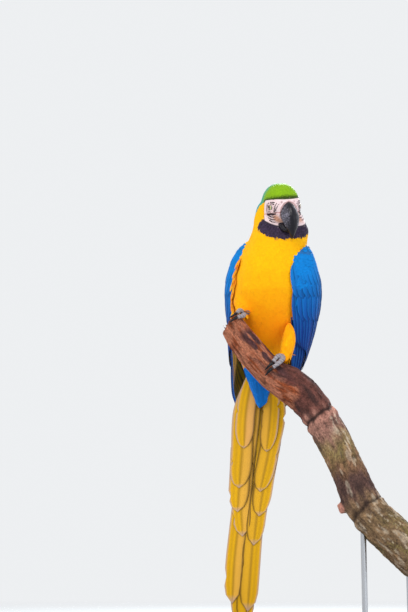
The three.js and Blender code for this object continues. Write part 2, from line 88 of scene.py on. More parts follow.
def ramp(x, low, high):
    """0 below low, 1 above high, and an eased step between them."""
    t = np.clip((np.asarray(x, float) - low) / (high - low), 0, 1)
    return t * t * (3 - 2 * t)


def unit(vectors):
    return vectors / np.maximum(np.linalg.norm(vectors, axis=-1, keepdims=True), 1e-12)


def flat_to(vectors, normals):
    """The part of each vector that lies along the surface."""
    return vectors - (vectors * normals).sum(-1, keepdims=True) * normals


halfway = through([[0, 0], [1, 10]])(0.5)[0]
print("a curve from 0 to 10 passes", round(float(halfway), 1), "halfway")


# %% [markdown]
# ## Where things are on a bird
# Markings, the lie of the coat and the sizes of feathers depend on where a point is on the
# body. Two sets of directions say that: the trunk's, which turns with the breast, and the
# head's, which is turned, tipped and rolled. Heights and reaches are in millimetres, as a
# taxidermist's sheet gives them, and the points that come out are in metres.

# %% The trunk's sections and directions
TRUNK = through([
    # height, middle x and y, half width, reach to the front and to the back
    [432, -124, 54, 3, 3, 4], [440, -124, 54, 10, 8, 9], [456, -125, 55, 18, 14, 14],
    [486, -124, 52, 28, 22, 20], [510, -121, 46, 40, 31, 27], [530, -119, 38, 50, 38, 34],
    [575, -115, 20, 61, 50, 46], [635, -112, -8, 66, 58, 58], [685, -107, -24, 60, 50, 58],
    [715, -97, -33, 53, 40, 54], [742, -90, -38, 49.5, 32, 48], [760, -93, -40, 44, 29, 44],
    [781, -96, -44, 35.5, 26, 38], [800, -95, -47, 22, 18, 26],
])
TRUNK_LOW = 432
TAIL_AXIS = through([[33, -167, 99], [200, -156, 76], [352, -137, 63], [432, -126, 61],
                     [492, -124, 60]])
BODY_YAW = math.radians(18)
RUMP_TURN = 0.5


def body_directions(height):
    """The middle of the body at a height, and its directions to the left and ahead."""
    height = np.asarray(height, float)
    trunk, tail = TRUNK(height), TAIL_AXIS(height)
    middle = np.where((height > TRUNK_LOW)[..., None], trunk[..., :2], tail[..., :2])
    share = RUMP_TURN + (1 - RUMP_TURN) * np.clip((height - TRUNK_LOW) / 160, 0, 1)
    turn = BODY_YAW * share
    left = np.stack([np.cos(turn), -np.sin(turn), 0 * turn], -1)
    ahead = np.stack([-np.sin(turn), -np.cos(turn), 0 * turn], -1)
    return np.concatenate([middle, height[..., None]], -1), left, ahead


def beside(height, side, forward):
    """The point, in metres, beside the body's middle."""
    middle, left, ahead = body_directions(height)
    side, forward = np.asarray(side, float)[..., None], np.asarray(forward, float)[..., None]
    return (middle + left * side + ahead * forward) * MM


def on_body(points):
    """Height, side and reach ahead in mm, the angle round the body in degrees (0 at the
    breast, 90 at its left), and how far out it is, where 1 is the trunk's own outline."""
    height = points[:, 2] / MM
    middle, left, ahead = body_directions(height)
    off = points / MM - middle
    side, forward = (off * left).sum(1), (off * ahead).sum(1)
    section = TRUNK(height)
    reach = np.where(forward > 0, section[:, 3], section[:, 4])
    out = np.hypot(side / section[:, 2], forward / reach)
    return height, side, forward, np.degrees(np.arctan2(side, forward)), out



print("the trunk is", round(2 * float(TRUNK(635)[2])), "mm wide under the wings")

# %% The head's directions
HEAD_CENTRE = Vector((-89.5, -57, 779))
HEAD_TURN = (
    Matrix.Rotation(math.radians(17), 3, "Z")
    @ Matrix.Rotation(math.radians(24), 3, "X")
    @ Matrix.Rotation(math.radians(-8), 3, "Y")
)
HEAD_AXES = np.array(HEAD_TURN)
EYE_RADIUS = 7
EYE_PLACE = (17, 22.8, 4)


def on_head(points):
    """Ahead, side and up of points in the head's own directions, in mm."""
    own = (points / MM - np.array(HEAD_CENTRE)) @ HEAD_AXES
    return -own[:, 1], own[:, 0], own[:, 2]


def head_point(ahead, side, up):
    own = np.stack(np.broadcast_arrays(side, -np.asarray(ahead, float), up), -1)
    return (own @ HEAD_AXES.T + np.array(HEAD_CENTRE)) * MM


print("the head is centred at", tuple(round(v) for v in HEAD_CENTRE), "mm")

# %% [markdown]
# ## Shader maths as plain expressions
# Node graphs are clumsy to write out by hand. A small class wraps a socket and overloads the
# arithmetic, so a mask can be written as 1 - ridge * 2 and adds its own Math nodes. Colours
# go through Mix nodes, since a Math node would turn them grey.

# %% The socket class
class Wire:
    def __init__(self, maker, socket):
        self.maker, self.socket = maker, socket

    def maths(self, operation, *inputs):
        return self.maker.add("ShaderNodeMath", {"operation": operation}, dict(enumerate(inputs)))

    def __add__(self, other):
        return self.maths("ADD", self, other)

    def __sub__(self, other):
        return self.maths("SUBTRACT", self, other)

    def __rsub__(self, other):
        return self.maths("SUBTRACT", other, self)

    def __mul__(self, other):
        return self.maths("MULTIPLY", self, other)

    __radd__ = __add__
    __rmul__ = __mul__

    def steps(self, low, high):
        """0 below low, 1 above high, eased between."""
        return self.maker.add(
            "ShaderNodeMapRange", {"interpolation_type": "SMOOTHSTEP"},
            {"Value": self, "From Min": low, "From Max": high})

print("a wire adds its own Math nodes")

# %% The material maker
class Finish:
    """A material, with its nodes added through one method."""

    def __init__(self, name, **constants):
        self.material = bpy.data.materials.new(name)
        self.material.use_nodes = True
        self.tree = self.material.node_tree
        self.shader = self.tree.nodes["Principled BSDF"]
        for socket, value in constants.items():
            self.shader.inputs[socket.replace("_", " ")].default_value = value

    def add(self, kind, settings=None, inputs=None, out=0):
        node = self.tree.nodes.new(kind)
        for name, value in (settings or {}).items():
            if name == "stops":
                ramp_of = node.color_ramp
                while len(ramp_of.elements) < len(value):
                    ramp_of.elements.new(1)
                for element, (place, colour) in zip(ramp_of.elements, value):
                    element.position = place
                    element.color = (*colour, 1)
            else:
                setattr(node, name, value)
        for name, value in (inputs or {}).items():
            socket = node.inputs[name]
            if isinstance(value, Wire):
                self.tree.links.new(value.socket, socket)
            else:
                socket.default_value = value
        return Wire(self, node.outputs[out])

    def feed(self, socket, wire):
        self.tree.links.new(wire.socket, self.shader.inputs[socket])

    def cover(self, mesh):
        mesh.materials.append(self.material)

    def place(self):
        return self.add("ShaderNodeTexCoord", out="Object")

    def attribute(self, name, out="Color"):
        return self.add("ShaderNodeAttribute", {"attribute_name": name}, out=out)

    def scaled(self, vector, scale):
        return self.add("ShaderNodeMapping", {}, {"Vector": vector, "Scale": scale})

    def noise(self, vector, scale, detail, roughness=0.55, distortion=0.0):
        return self.add(
            "ShaderNodeTexNoise", {"noise_dimensions": "3D"},
            {"Vector": vector, "Scale": scale, "Detail": detail, "Roughness": roughness,
             "Distortion": distortion})

    def cells(self, scale):
        return self.add("ShaderNodeTexVoronoi", {}, {"Vector": self.place(), "Scale": scale})

    def mix(self, share, a, b, blend="MIX"):
        a, b = (colour if isinstance(colour, Wire) else (*colour, 1) for colour in (a, b))
        return self.add("ShaderNodeMix", {"data_type": "RGBA", "blend_type": blend},
                        {0: share, 6: a, 7: b}, out=2)

    def painted(self, name, factor):
        """Shows the colours painted on the mesh, lighter or darker by a varying factor."""
        grey = self.add("ShaderNodeCombineColor", {}, {0: factor, 1: factor, 2: factor})
        self.feed("Base Color", self.mix(1.0, self.attribute(name), grey, "MULTIPLY"))

    def relief(self, height, depth, strength):
        """Gives the surface a bump of a depth in metres."""
        self.feed("Normal", self.add("ShaderNodeBump", {}, {
            "Height": height, "Distance": depth, "Strength": strength}))


def srgb(red, green, blue):
    """A colour as a painter's chart gives it, 0 to 255, in the renderer's linear scale."""
    share = np.array([red, green, blue], float) / 255
    return tuple(np.where(share <= 0.04045, share / 12.92, ((share + 0.055) / 1.055) ** 2.4))


print("shader tools ready")

# %% [markdown]
# ## The room
# The part is shown the way a catalogue shows it: a plain pale floor, pale air all round, one
# broad soft lamp high in front, a weaker one from the side to open the shadows, and a third
# from behind that draws a light rim on the crown and the shoulders. The camera stands low in
# front and looks up a little, so the bird's tail hangs towards it.

# %% Objects from meshes
def placed(name, data):
    """A new object of the given data, linked to the scene."""
    piece = bpy.data.objects.new(name, data)
    bpy.context.collection.objects.link(piece)
    return piece


def bmesh_object(name, work):
    mesh = bpy.data.meshes.new(name)
    work.to_mesh(mesh)
    work.free()
    mesh.polygons.foreach_set("use_smooth", [True] * len(mesh.polygons))
    return placed(name, mesh)

# %% The floor and the air
FLOOR_CLEAR = 1.0
FLOOR_GONE = 3.6
floor_work = bmesh.new()
bmesh.ops.create_circle(floor_work, cap_ends=True, segments=96, radius=9)
floor = bmesh_object("floor", floor_work)
floor_finish = Finish("floor_matt", Base_Color=(*srgb(186, 188, 190), 1), Specular_IOR_Level=0.1)
speck = floor_finish.noise(floor_finish.place(), 3.0, 3.0)
floor_finish.feed("Roughness", speck * 0.1 + 0.8)
reach = floor_finish.add("ShaderNodeVectorMath", {"operation": "LENGTH"},
                         {0: floor_finish.place()}, out=1)
floor_finish.feed("Alpha", 1 - reach.steps(FLOOR_CLEAR, FLOOR_GONE))
floor_finish.cover(floor.data)

world = bpy.data.worlds.new("pale_air")
world.use_nodes = True
air = world.node_tree.nodes["Background"].inputs
air["Color"].default_value = (*srgb(243, 245, 247), 1)
air["Strength"].default_value = 0.95
bpy.context.scene.world = world
bpy.context.scene.view_settings.view_transform = "Standard"
bpy.context.scene.view_settings.look = "None"

# %% Lamps and camera
AIM = Vector((-0.1, 0, 0.6))


def lamp(name, place, size, power, colour):
    light = bpy.data.lights.new(name, "AREA")
    light.shape = "DISK"
    light.size = size
    light.energy = power
    light.color = colour
    piece = placed(name, light)
    piece.location = place
    piece.rotation_euler = (AIM - Vector(place)).to_track_quat("-Z", "Y").to_euler()


lamp("lamp_key", (-1.3, -2.3, 2.5), 1.6, 50, (1.0, 0.97, 0.92))
lamp("lamp_fill", (2.0, -1.9, 0.9), 1.8, 18, (0.93, 0.96, 1.0))
lamp("lamp_rim", (0.4, 2.0, 2.3), 1.2, 130, (0.92, 0.97, 1.0))

LOOKING_UP = 11
camera = placed("camera", bpy.data.cameras.new("camera"))
camera.data.sensor_width = 36
camera.data.lens = 78.4
camera.location = (-0.230, -2.386, 0.145)
camera.rotation_euler = (math.radians(90 + LOOKING_UP), 0, 0)
bpy.context.scene.camera = camera
print("camera at", tuple(round(c, 3) for c in camera.location))

# %% [markdown]
# ## The markings
# Skin and coat carry the same markings, so they come from one rule that takes a point and
# gives its colour: the green cap that turns blue down the nape, the golden front that deepens
# to orange on the belly, the black bib round the bare white face, and the blue back and
# wings. Each border is a distance in millimetres, positive inside, softened over a
# millimetre or less. The rule paints some shade too: a dark line along the cap's lower edge
# above the face, and a wing blue that deepens downwards, partly the flight feathers' own
# deeper blue and partly painted shade.

# %% Borders of the face, the bib and the nape, in the head's directions
FACE_REAR = through([[-36, 24], [-28, 15], [-25, 9.5], [-19, 3.5], [-8, -1], [2, -2.5],
                     [11, -2], [17, 2], [22, 10]])
FACE_TOP = through([[-6, 12.5], [5, 16], [15, 18], [26, 20], [34, 20.5], [42, 21]])
FACE_LOW = through([[0, -19], [9, -22.5], [16, -25.5], [26, -28], [42, -30]])
BIB_REAR = through([[-48, 24], [-44, 10], [-40, 4], [-34, 0], [-27, -1], [-20, 1],
                    [-14, 5], [-8, 14]])
BIB_LOW = through([[-6, -28], [0, -32], [12, -38.5], [22, -42.5], [30, -45], [45, -46.5]])
CAP_LOW = through([[-44, -64], [-33, -52], [-27, -34], [-20, -14], [-13, 2], [-6, 9.5],
                   [2, 14], [15, 17], [34, 19.5]])
FAR_OUTSIDE = -9.0


def bare_face(points):
    """How far inside the bare skin of the face a point is, in mm."""
    ahead, _, up = on_head(points)
    inside = np.minimum(ahead - FACE_REAR(up)[:, 0], FACE_TOP(ahead)[:, 0] - up)
    inside = np.minimum(inside, up - FACE_LOW(ahead)[:, 0])
    return np.where(ahead > -8, inside, FAR_OUTSIDE)


def bib(points):
    """How far inside the black bib a point is, in mm."""
    ahead, side, up = on_head(points)
    inside = np.minimum(ahead - BIB_REAR(up)[:, 0], up - BIB_LOW(ahead)[:, 0])
    inside = np.minimum(inside, -12 - up)
    return np.where(np.abs(side) < 60, inside, FAR_OUTSIDE)


def nape(points):
    """How far inside the cap, the nape or the blue back a point is, in mm."""
    ahead, _, up = on_head(points)
    height, _, _, angle, _ = on_body(points)
    by_head = np.minimum(up - CAP_LOW(ahead)[:, 0], 40.0)
    by_body = (np.abs(angle) - 96 - 18 * ramp(height, 700, 745)) * 0.8
    share = ramp(height, 728, 758)
    return by_body + (by_head - by_body) * share



print("the bare face starts", round(float(FACE_REAR(0)[0]), 1), "mm from the head's middle")

# %% The colours
GOLD = srgb(255, 190, 0)
ORANGE = srgb(255, 150, 0)
FLANK = srgb(250, 124, 0)
CAP_GREEN = srgb(128, 172, 14)
CAP_TEAL = srgb(58, 158, 150)
NAPE_BLUE = srgb(24, 130, 196)
BACK_BLUE = srgb(2, 104, 190)
WING_AZURE = srgb(0, 124, 206)
# The flight feathers' deeper blue, partly their own colour and partly painted shade.
WING_DEEP = srgb(0, 50, 136)
VENT_BLUE = srgb(0, 112, 204)
BIB_BLACK = srgb(50, 40, 60)
FACE_PINK = srgb(230, 206, 208)
FACE_TAN = srgb(202, 136, 94)
SOFT_EDGE = 0.3
VENT_TOP = 519.5

print("gold is", tuple(round(float(part), 3) for part in GOLD), "in linear light")

# %% The rule that lays the colours out
def blend(a, b, share):
    share = np.asarray(share, float)[..., None]
    return np.asarray(a) * (1 - share) + np.asarray(b) * share


def overlaid(colour, *layers):
    """A colour with others laid over it one by one, each given with its share."""
    for over, share in layers:
        colour = blend(colour, over, share)
    return colour


def cloud(points, scale, seed):
    """A soft random value from -1 to 1 that drifts over the body."""
    shift = Vector((seed * 7.3, seed * 3.1, seed * 5.7))
    return np.array([noise.noise(Vector(p) * scale + shift) for p in points])


def markings_and_shade(points, wing):
    """The colour at each point, with some painted shade. wing is 1 where the point is on a
    wing and 0 elsewhere.
    """
    ahead, _, up = on_head(points)
    height, _, forward, angle, _ = on_body(points)
    drift = cloud(points, 45, 1)
    low = ramp(-height + 14 * drift, -690, -560)
    flank = ramp(np.abs(angle), 62, 92) * ramp(-height, -720, -660)
    thigh = ramp(-height, -575, -520) * (1 - flank)
    front = overlaid(GOLD, (ORANGE, 0.15 + 0.85 * low), (FLANK, 0.65 * flank),
                     (GOLD, 0.55 * thigh))
    cap = blend(CAP_GREEN, CAP_TEAL, ramp(-ahead + 5 * drift, -4, 20))
    cap = blend(cap, NAPE_BLUE, ramp(-ahead, 14, 34))
    # Painted shade: the cap darkens along its lower edge above the bare face, as under a brow.
    cap = cap * (1 - 0.86 * ramp(bare_face(points), -5.5, -1.5) * ramp(up, 6, 12))[:, None]
    blue = blend(BACK_BLUE, cap, ramp(height, 742, 772))
    pink = blend(FACE_PINK, FACE_TAN, 0.8 * ramp(-np.hypot(ahead - 28, (up + 15) * 0.7), -9, -2))
    # The wing's blue deepens downwards, partly the flight feathers' own colour and partly painted
    # shade.
    wing_blue = overlaid(WING_AZURE, (WING_DEEP, ramp(-height + 18 * drift, -680, -540)),
                         (WING_AZURE, 0.6 * ramp(forward, 14, 40)))
    return overlaid(
        front,
        (blue, ramp(nape(points), -SOFT_EDGE, SOFT_EDGE)),
        (VENT_BLUE, ramp(VENT_TOP - height + 16 * drift, -SOFT_EDGE, SOFT_EDGE)),
        (BIB_BLACK, ramp(bib(points), -SOFT_EDGE, SOFT_EDGE)),
        (pink, ramp(bare_face(points), -0.5, 0.5)),
        (wing_blue, wing))


print("markings ready")

# %% [markdown]
# ## One skin over head, neck, trunk, thighs and wings
# The frame parts the bird where a person would name its parts, and small gaps run between
# them. On the real bird the skin is one piece. Copies of the flesh solids are swollen by a
# millimetre so that they overlap, and a voxel remesh turns them into one closed surface. It
# is then relaxed and drawn inwards by the depth of the coat, by less where the flesh is thin.

# %% Join the flesh solids
FLESH = ("head", "neck", "trunk", "thigh_left", "thigh_right", "wing_left", "wing_right")
WING_FLESH_LOW = 0.552
SWOLLEN = 0.0010
SKIN_VOXEL = 0.0021
WELD = 2e-5
BUBBLE_POINTS = 1500


def cut_across(work, place, way, **options):
    """Cuts a whole bmesh by the plane through a place, square to a way."""
    geometry = work.verts[:] + work.edges[:] + work.faces[:]
    return bmesh.ops.bisect_plane(work, geom=geometry, plane_co=place, plane_no=way, **options)


def merged_copy(names, grow):
    """Copies of the named solids in one bmesh. A wing's flesh ends where only quills go on."""
    work = bmesh.new()
    for name in names:
        part = bmesh.new()
        part.from_mesh(NODES[name].data)
        bmesh.ops.remove_doubles(part, verts=part.verts, dist=WELD)
        if name.startswith("wing_"):
            cut = cut_across(part, (0, 0, WING_FLESH_LOW), (0, 0, -1), clear_outer=True)
            rim = [e for e in cut["geom_cut"] if isinstance(e, bmesh.types.BMEdge)]
            bmesh.ops.holes_fill(part, edges=rim, sides=0)
        scratch = bpy.data.meshes.new("scratch")
        part.to_mesh(scratch)
        part.free()
        work.from_mesh(scratch)
        bpy.data.meshes.remove(scratch)
    work.normal_update()
    moves = [vert.normal * grow for vert in work.verts]
    for vert, move in zip(work.verts, moves):
        vert.co += move
    return work


def remeshed(name, work, voxel):
    """The closed outline of a bmesh as one new mesh of even quads."""
    rough = bmesh_object(name + "_rough", work)
    modifier = rough.modifiers.new("voxels", "REMESH")
    modifier.mode = "VOXEL"
    modifier.voxel_size = voxel
    modifier.use_smooth_shade = True
    depsgraph = bpy.context.evaluated_depsgraph_get()
    mesh = bpy.data.meshes.new_from_object(rough.evaluated_get(depsgraph))
    mesh.name = name
    bpy.data.objects.remove(rough)
    return mesh

# %% Read and move the points of a mesh
def read(items, field, width, kind=float):
    """One field of all the items of a mesh, as an array with a row for each item."""
    values = np.empty(len(items) * width, kind)
    items.foreach_get(field, values)
    return values.reshape(-1, width)


def vertex_points(mesh):
    return read(mesh.vertices, "co", 3)


def vertex_normals(mesh):
    return read(mesh.vertex_normals, "vector", 3)


def move_points(mesh, points):
    mesh.vertices.foreach_set("co", points.ravel())
    mesh.update()


def close_up(work):
    """Splits the many-sided caps of a bmesh and turns all its faces outwards."""
    bmesh.ops.triangulate(work, faces=[f for f in work.faces if len(f.verts) > 4])
    bmesh.ops.recalc_face_normals(work, faces=work.faces)


def tree_on(mesh, points):
    """A search tree on a mesh's faces with its points where they are given."""
    return BVHTree.FromPolygons([Vector(p) for p in points],
                                [tuple(p.vertices) for p in mesh.polygons])


def relax(points, edges, times, strength=0.5):
    """Moves each point towards the middle of its neighbours, in place of a sculptor's smooth."""
    for _ in range(times):
        total = np.zeros_like(points)
        count = np.zeros(len(points))
        for a, b in ((0, 1), (1, 0)):
            np.add.at(total, edges[:, a], points[edges[:, b]])
            np.add.at(count, edges[:, a], 1)
        points = points + strength * (total / np.maximum(count, 1)[:, None] - points)
    return points


def relaxed(mesh, times):
    """Relaxes a mesh, and returns its points, edges and normals."""
    edges = read(mesh.edges, "vertices", 2, int)
    points = relax(vertex_points(mesh), edges, times)
    move_points(mesh, points)
    return points, edges, vertex_normals(mesh)


def raised(mesh, points, normals, lift):
    """Moves each point along its normal by a lift in mm, and returns the new points."""
    points = points + normals * (lift * MM)[:, None]
    move_points(mesh, points)
    mesh.polygons.foreach_set("use_smooth", [True] * len(mesh.polygons))
    return points

# %% One closed skin
def drop_bubbles(mesh):
    """Drops the small closed bubbles that a remesh leaves in the gaps between solids."""
    work = bmesh.new()
    work.from_mesh(mesh)
    left = set(work.verts)
    islands = []
    while left:
        front = [left.pop()]
        island = list(front)
        while front:
            vert = front.pop()
            for edge in vert.link_edges:
                other = edge.other_vert(vert)
                if other in left:
                    left.remove(other)
                    front.append(other)
                    island.append(other)
        islands.append(island)
    loose = [vert for island in islands if len(island) < BUBBLE_POINTS for vert in island]
    bmesh.ops.delete(work, geom=loose, context="VERTS")
    work.to_mesh(mesh)
    work.free()
    return sorted(map(len, islands))


skin_mesh = remeshed("skin", merged_copy(FLESH, SWOLLEN), SKIN_VOXEL)
print("skin islands", drop_bubbles(skin_mesh), "faces", len(skin_mesh.polygons))

# %% The depth of the coat
FLESH_SHARE = 0.35
THIN_FLESH = 0.012
SKIN_LIFT = 0.0005


def coat_depth(points, wing):
    """How thick the coat lies, in mm, from next to nothing on the face to full on the wings."""
    height, *_ = on_body(points)
    head = ramp(height, 722, 765)
    depth = 1.5 - 0.3 * head
    depth = np.where(wing > 0.5, 1.8 + 1.8 * ramp(-height, -640, -600), depth)
    return depth + (0.35 - depth) * ramp(bare_face(points), -3, 0.5)


def fluff(points):
    """How far the loose feathers of the nape and of the neck's outer side puff out, in mm."""
    height, side, *_ = on_body(points)
    ahead, across, _ = on_head(points)
    behind = ramp(-ahead, 2, 26) * ramp(height, 735, 765)
    beside_neck = ring(height, 728, 42) * ramp(-side, 8, 30)
    return 3.4 * np.maximum(behind * ramp(-across, -25, 15), beside_neck)


def tree_of(*names):
    work = merged_copy(names, 0)
    tree = BVHTree.FromBMesh(work)
    work.free()
    return tree


WING_TREE = tree_of("wing_left", "wing_right")
TRUNK_TREE = tree_of("trunk", "neck", "head", "thigh_left", "thigh_right")


def on_wing(points):
    """1 for points that lie nearer to a wing's solid than to the trunk's, and 0 elsewhere."""
    return np.array([float(WING_TREE.find_nearest(p)[3] < TRUNK_TREE.find_nearest(p)[3])
                     for p in map(Vector, points)])

# %% Draw the skin in
points, edges, normals = relaxed(skin_mesh, 6)
thick_tree = tree_on(skin_mesh, points)
depth = coat_depth(points, on_wing(points)) * MM
for i, (point, normal) in enumerate(zip(points, normals)):
    inward = -Vector(normal)
    hit = thick_tree.ray_cast(Vector(point) + inward * 0.0003, inward, THIN_FLESH)
    if hit[0] is not None:
        depth[i] = min(depth[i], FLESH_SHARE * hit[3])
depth = relax((depth - SKIN_LIFT - fluff(points) * MM)[:, None], edges, 4)
skin_points = relax(points - normals * depth, edges, 2)
move_points(skin_mesh, skin_points)
print("coat depth from", round(depth.min() / MM, 2), "to", round(depth.max() / MM, 2), "mm")

# %% [markdown]
# ## Folds, lids and the cere
# On the bare face the skin itself shows, so its small forms are sculpted: the raised ring of
# the eyelids with a groove round it, shallow folds under the eye, the soft roll of the cere
# round the root of the bill, and the nostrils sunk in it. The face is first cut finer, since
# the voxels are too coarse for a lid a millimetre wide.

# %% Cut the face finer
skin_work = bmesh.new()
skin_work.from_mesh(skin_mesh)
for _ in range(2):
    places = np.array([vert.co for vert in skin_work.verts])
    near_face = bare_face(places) > -2.5
    lines = [e for e in skin_work.edges
             if near_face[e.verts[0].index] and near_face[e.verts[1].index]]
    bmesh.ops.subdivide_edges(skin_work, edges=lines, cuts=1, use_grid_fill=True)
    bmesh.ops.triangulate(skin_work, faces=[f for f in skin_work.faces if len(f.verts) > 4])
    skin_work.verts.index_update()
skin_work.to_mesh(skin_mesh)
skin_work.free()

# %% Sculpt the face
bill_solid = NODES["upper_bill"].data
BILL_TREE = tree_on(bill_solid, vertex_points(bill_solid))
NOSTRIL = (33.6, 11.6, 15.2)

points = vertex_points(skin_mesh)
smoothed = relax(points, read(skin_mesh.edges, "vertices", 2, int), 6)
points = np.where(bare_face(points)[:, None] > -1.5, smoothed, points)
move_points(skin_mesh, points)
normals = vertex_normals(skin_mesh)
ahead, side, up = on_head(points)
inside = ramp(bare_face(points), -2.0, 1.0)
eye_ahead, _, eye_up = EYE_PLACE
to_eye = np.hypot(ahead - eye_ahead, (up - eye_up) * 1.06)
lift = 1.7 * ring(to_eye, 6.0, 1.0) - 0.5 * ring(to_eye, 8.2, 0.8)
lift += 0.28 * ring(to_eye, 10.0, 0.8) - 2.5 * (1 - ramp(to_eye, 3.2, 5.0))
fold = np.sin(1.9 * to_eye + 1.2 * np.sin(0.35 * ahead + 0.2 * up))
lift += 0.16 * fold * ramp(to_eye, 10.5, 13) * inside
crease = up - (-10.5 + 0.23 * ahead)
lift -= 0.9 * ring(crease, 0, 0.9) * ramp(ahead, 0, 5) * inside
to_bill = np.array([BILL_TREE.find_nearest(Vector(p))[3] for p in points]) / MM
lift += (2.3 * ring(to_bill, 2.6, 1.7) - 0.6 * ring(to_bill, 5.8, 1.1)) * ramp(up, -16, -6)
to_nostril = np.sqrt((ahead - NOSTRIL[0]) ** 2 + (np.abs(side) - NOSTRIL[1]) ** 2
                     + (up - NOSTRIL[2]) ** 2)
lift += 0.8 * ring(to_nostril, 3.4, 1.1) - 2.4 * ring(to_nostril, 0, 1.7)
skin_points = raised(skin_mesh, points, normals, lift * inside)
print("skin has", len(skin_mesh.polygons), "faces")

# %% Colour the skin
COAT_GAP_SHADE = 0.62
CREASE_SHADE_PINK = srgb(196, 128, 124)
LID_BROWN = srgb(120, 92, 92)
NOSTRIL_SHADE_RED = srgb(60, 26, 26)
CERE_PINK = srgb(214, 150, 142)


def paint(mesh, name, colours, domain="POINT"):
    layer = mesh.color_attributes.new(name, "FLOAT_COLOR", domain)
    layer.data.foreach_set("color", np.c_[colours, np.ones(len(colours))].ravel())


skin_wing = on_wing(skin_points)
skin_colour = markings_and_shade(skin_points, skin_wing)
bare = ramp(bare_face(skin_points), -0.5, 0.5)
# Painted shade: under the coat the skin is darker, as shade in the gaps between feathers. The bare
# face keeps its full colour.
skin_colour = skin_colour * (COAT_GAP_SHADE + (1 - COAT_GAP_SHADE) * bare)[:, None]
# Painted shade: the groove round each lid and the crease under the eye are darkened pink, and the
# sunk nostrils are nearly black.
groove_shade = (ring(to_eye, 8.2, 0.7) * 0.6 + ring(crease, 0, 1.0) * 0.8) * bare
skin_colour = overlaid(
    skin_colour,
    (CREASE_SHADE_PINK, np.clip(groove_shade, 0, 0.8)),
    (LID_BROWN, 0.7 * ring(to_eye, 5.2, 0.7) * bare),
    (NOSTRIL_SHADE_RED, ring(to_nostril, 0, 1.5) * bare),
    (CERE_PINK, 0.5 * ring(to_bill, 1.2, 1.2) * bare))
paint(skin_mesh, "plumage", skin_colour)

# %% The skin's finish
skin = placed("skin", skin_mesh)
skin_finish = Finish("skin_bare", Roughness=0.62, Specular_IOR_Level=0.35)
pores = skin_finish.cells(900)
mottle = skin_finish.noise(skin_finish.place(), 160, 4)
skin_finish.painted("plumage", mottle * 0.3 + 0.85)
skin_finish.relief(pores * 0.5 + mottle, 0.0006, 0.5)
skin_finish.cover(skin_mesh)
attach(skin, "root")
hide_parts(*FLESH)
print("skin painted")

# %% [markdown]
# ## The shape of one contour feather
# A body feather is a soft thin vane, narrow at its root, broad and rounded towards its tip,
# and slightly thicker along its shaft. Thousands are needed, so each may have only a few
# dozen faces: a four-sided tube is cut into rings with the bisect tool and pinched to the
# vane's outline, and a few thin barbs stand out at its edge so that it doesn't end in a hard
# line. When the tube is laid its section is flattened to a thin lens.
# The vane is measured in its own terms: across from -1 to 1, along from 0 to 1, and thickness.

# %% The contour feather
VANE_WIDTH = through([[0, 0.16], [0.12, 0.5], [0.35, 0.9], [0.6, 1.0], [0.8, 0.88],
                      [0.93, 0.55], [1.0, 0.12]])


def barb(work, across, along, lean, length):
    """A thin closed sliver that stands out from the vane's edge."""
    turn = Matrix.Rotation(math.atan2(-lean, 1), 4, "Z")
    place = Matrix.Translation((across, along, 0)) @ turn @ Matrix.Translation((0, length / 2, 0))
    place = place @ Matrix.Rotation(math.radians(-90), 4, "X")
    bmesh.ops.create_cone(work, cap_ends=True, segments=3, radius1=0.09, radius2=0.0,
                          depth=length, matrix=place)


def contour_feather(rings, barbs):
    work = bmesh.new()
    upright = Matrix.Translation((0, 0.5, 0)) @ Matrix.Rotation(math.radians(90), 4, "X")
    bmesh.ops.create_cone(work, cap_ends=True, segments=4, radius1=1, radius2=1, depth=1,
                          matrix=upright)
    for at in rings:
        cut_across(work, (0, at, 0), (0, 1, 0))
    for vert in work.verts:
        vert.co.x *= VANE_WIDTH(vert.co.y)[0]
    for across, along, lean, length in barbs:
        barb(work, across, along, lean, length)
    bmesh.ops.triangulate(work, faces=work.faces)
    bmesh.ops.recalc_face_normals(work, faces=work.faces)
    work.verts.index_update()
    vane = np.array([vert.co for vert in work.verts])
    faces = np.array([[vert.index for vert in face.verts] for face in work.faces])
    work.free()
    return vane, faces


SOFT_BARBS = [(0.0, 0.93, 0.0, 0.14), (0.3, 0.9, 0.35, 0.15), (-0.28, 0.91, -0.35, 0.14),
              (0.58, 0.82, 0.8, 0.16), (-0.6, 0.81, -0.8, 0.17), (0.78, 0.66, 1.3, 0.15),
              (-0.8, 0.64, -1.3, 0.16)]
FULL_RINGS = (0.14, 0.4, 0.65, 0.84, 0.95)
SOFT_FEATHER = contour_feather(FULL_RINGS, SOFT_BARBS)
FIRM_FEATHER = contour_feather(FULL_RINGS, SOFT_BARBS[:3])
SMALL_FEATHER = contour_feather((0.3, 0.65, 0.9), SOFT_BARBS[:3])
for title, (vane, faces) in (("soft", SOFT_FEATHER), ("firm", FIRM_FEATHER),
                             ("small", SMALL_FEATHER)):
    print(title, "feather:", len(vane), "points,", len(faces), "triangles")

# %% [markdown]
# ## Where feathers grow, and which way they lie
# Feathers grow at even distances, closer on the head than on the belly, so roots are thrown
# at random on the skin and kept only where no other is too near. They lie away from the bill
# over the head, down the body towards the tail, and back across the wings. None grow on the
# bare face, or where wing and flank press together and nothing could show.

# %% Sizes and lie of the feathers
ROOTS_THROWN = 150000
PRESSED_TOGETHER = 0.016
PRESSED_LOW = 0.005
LOW_TRUNK = 0.64


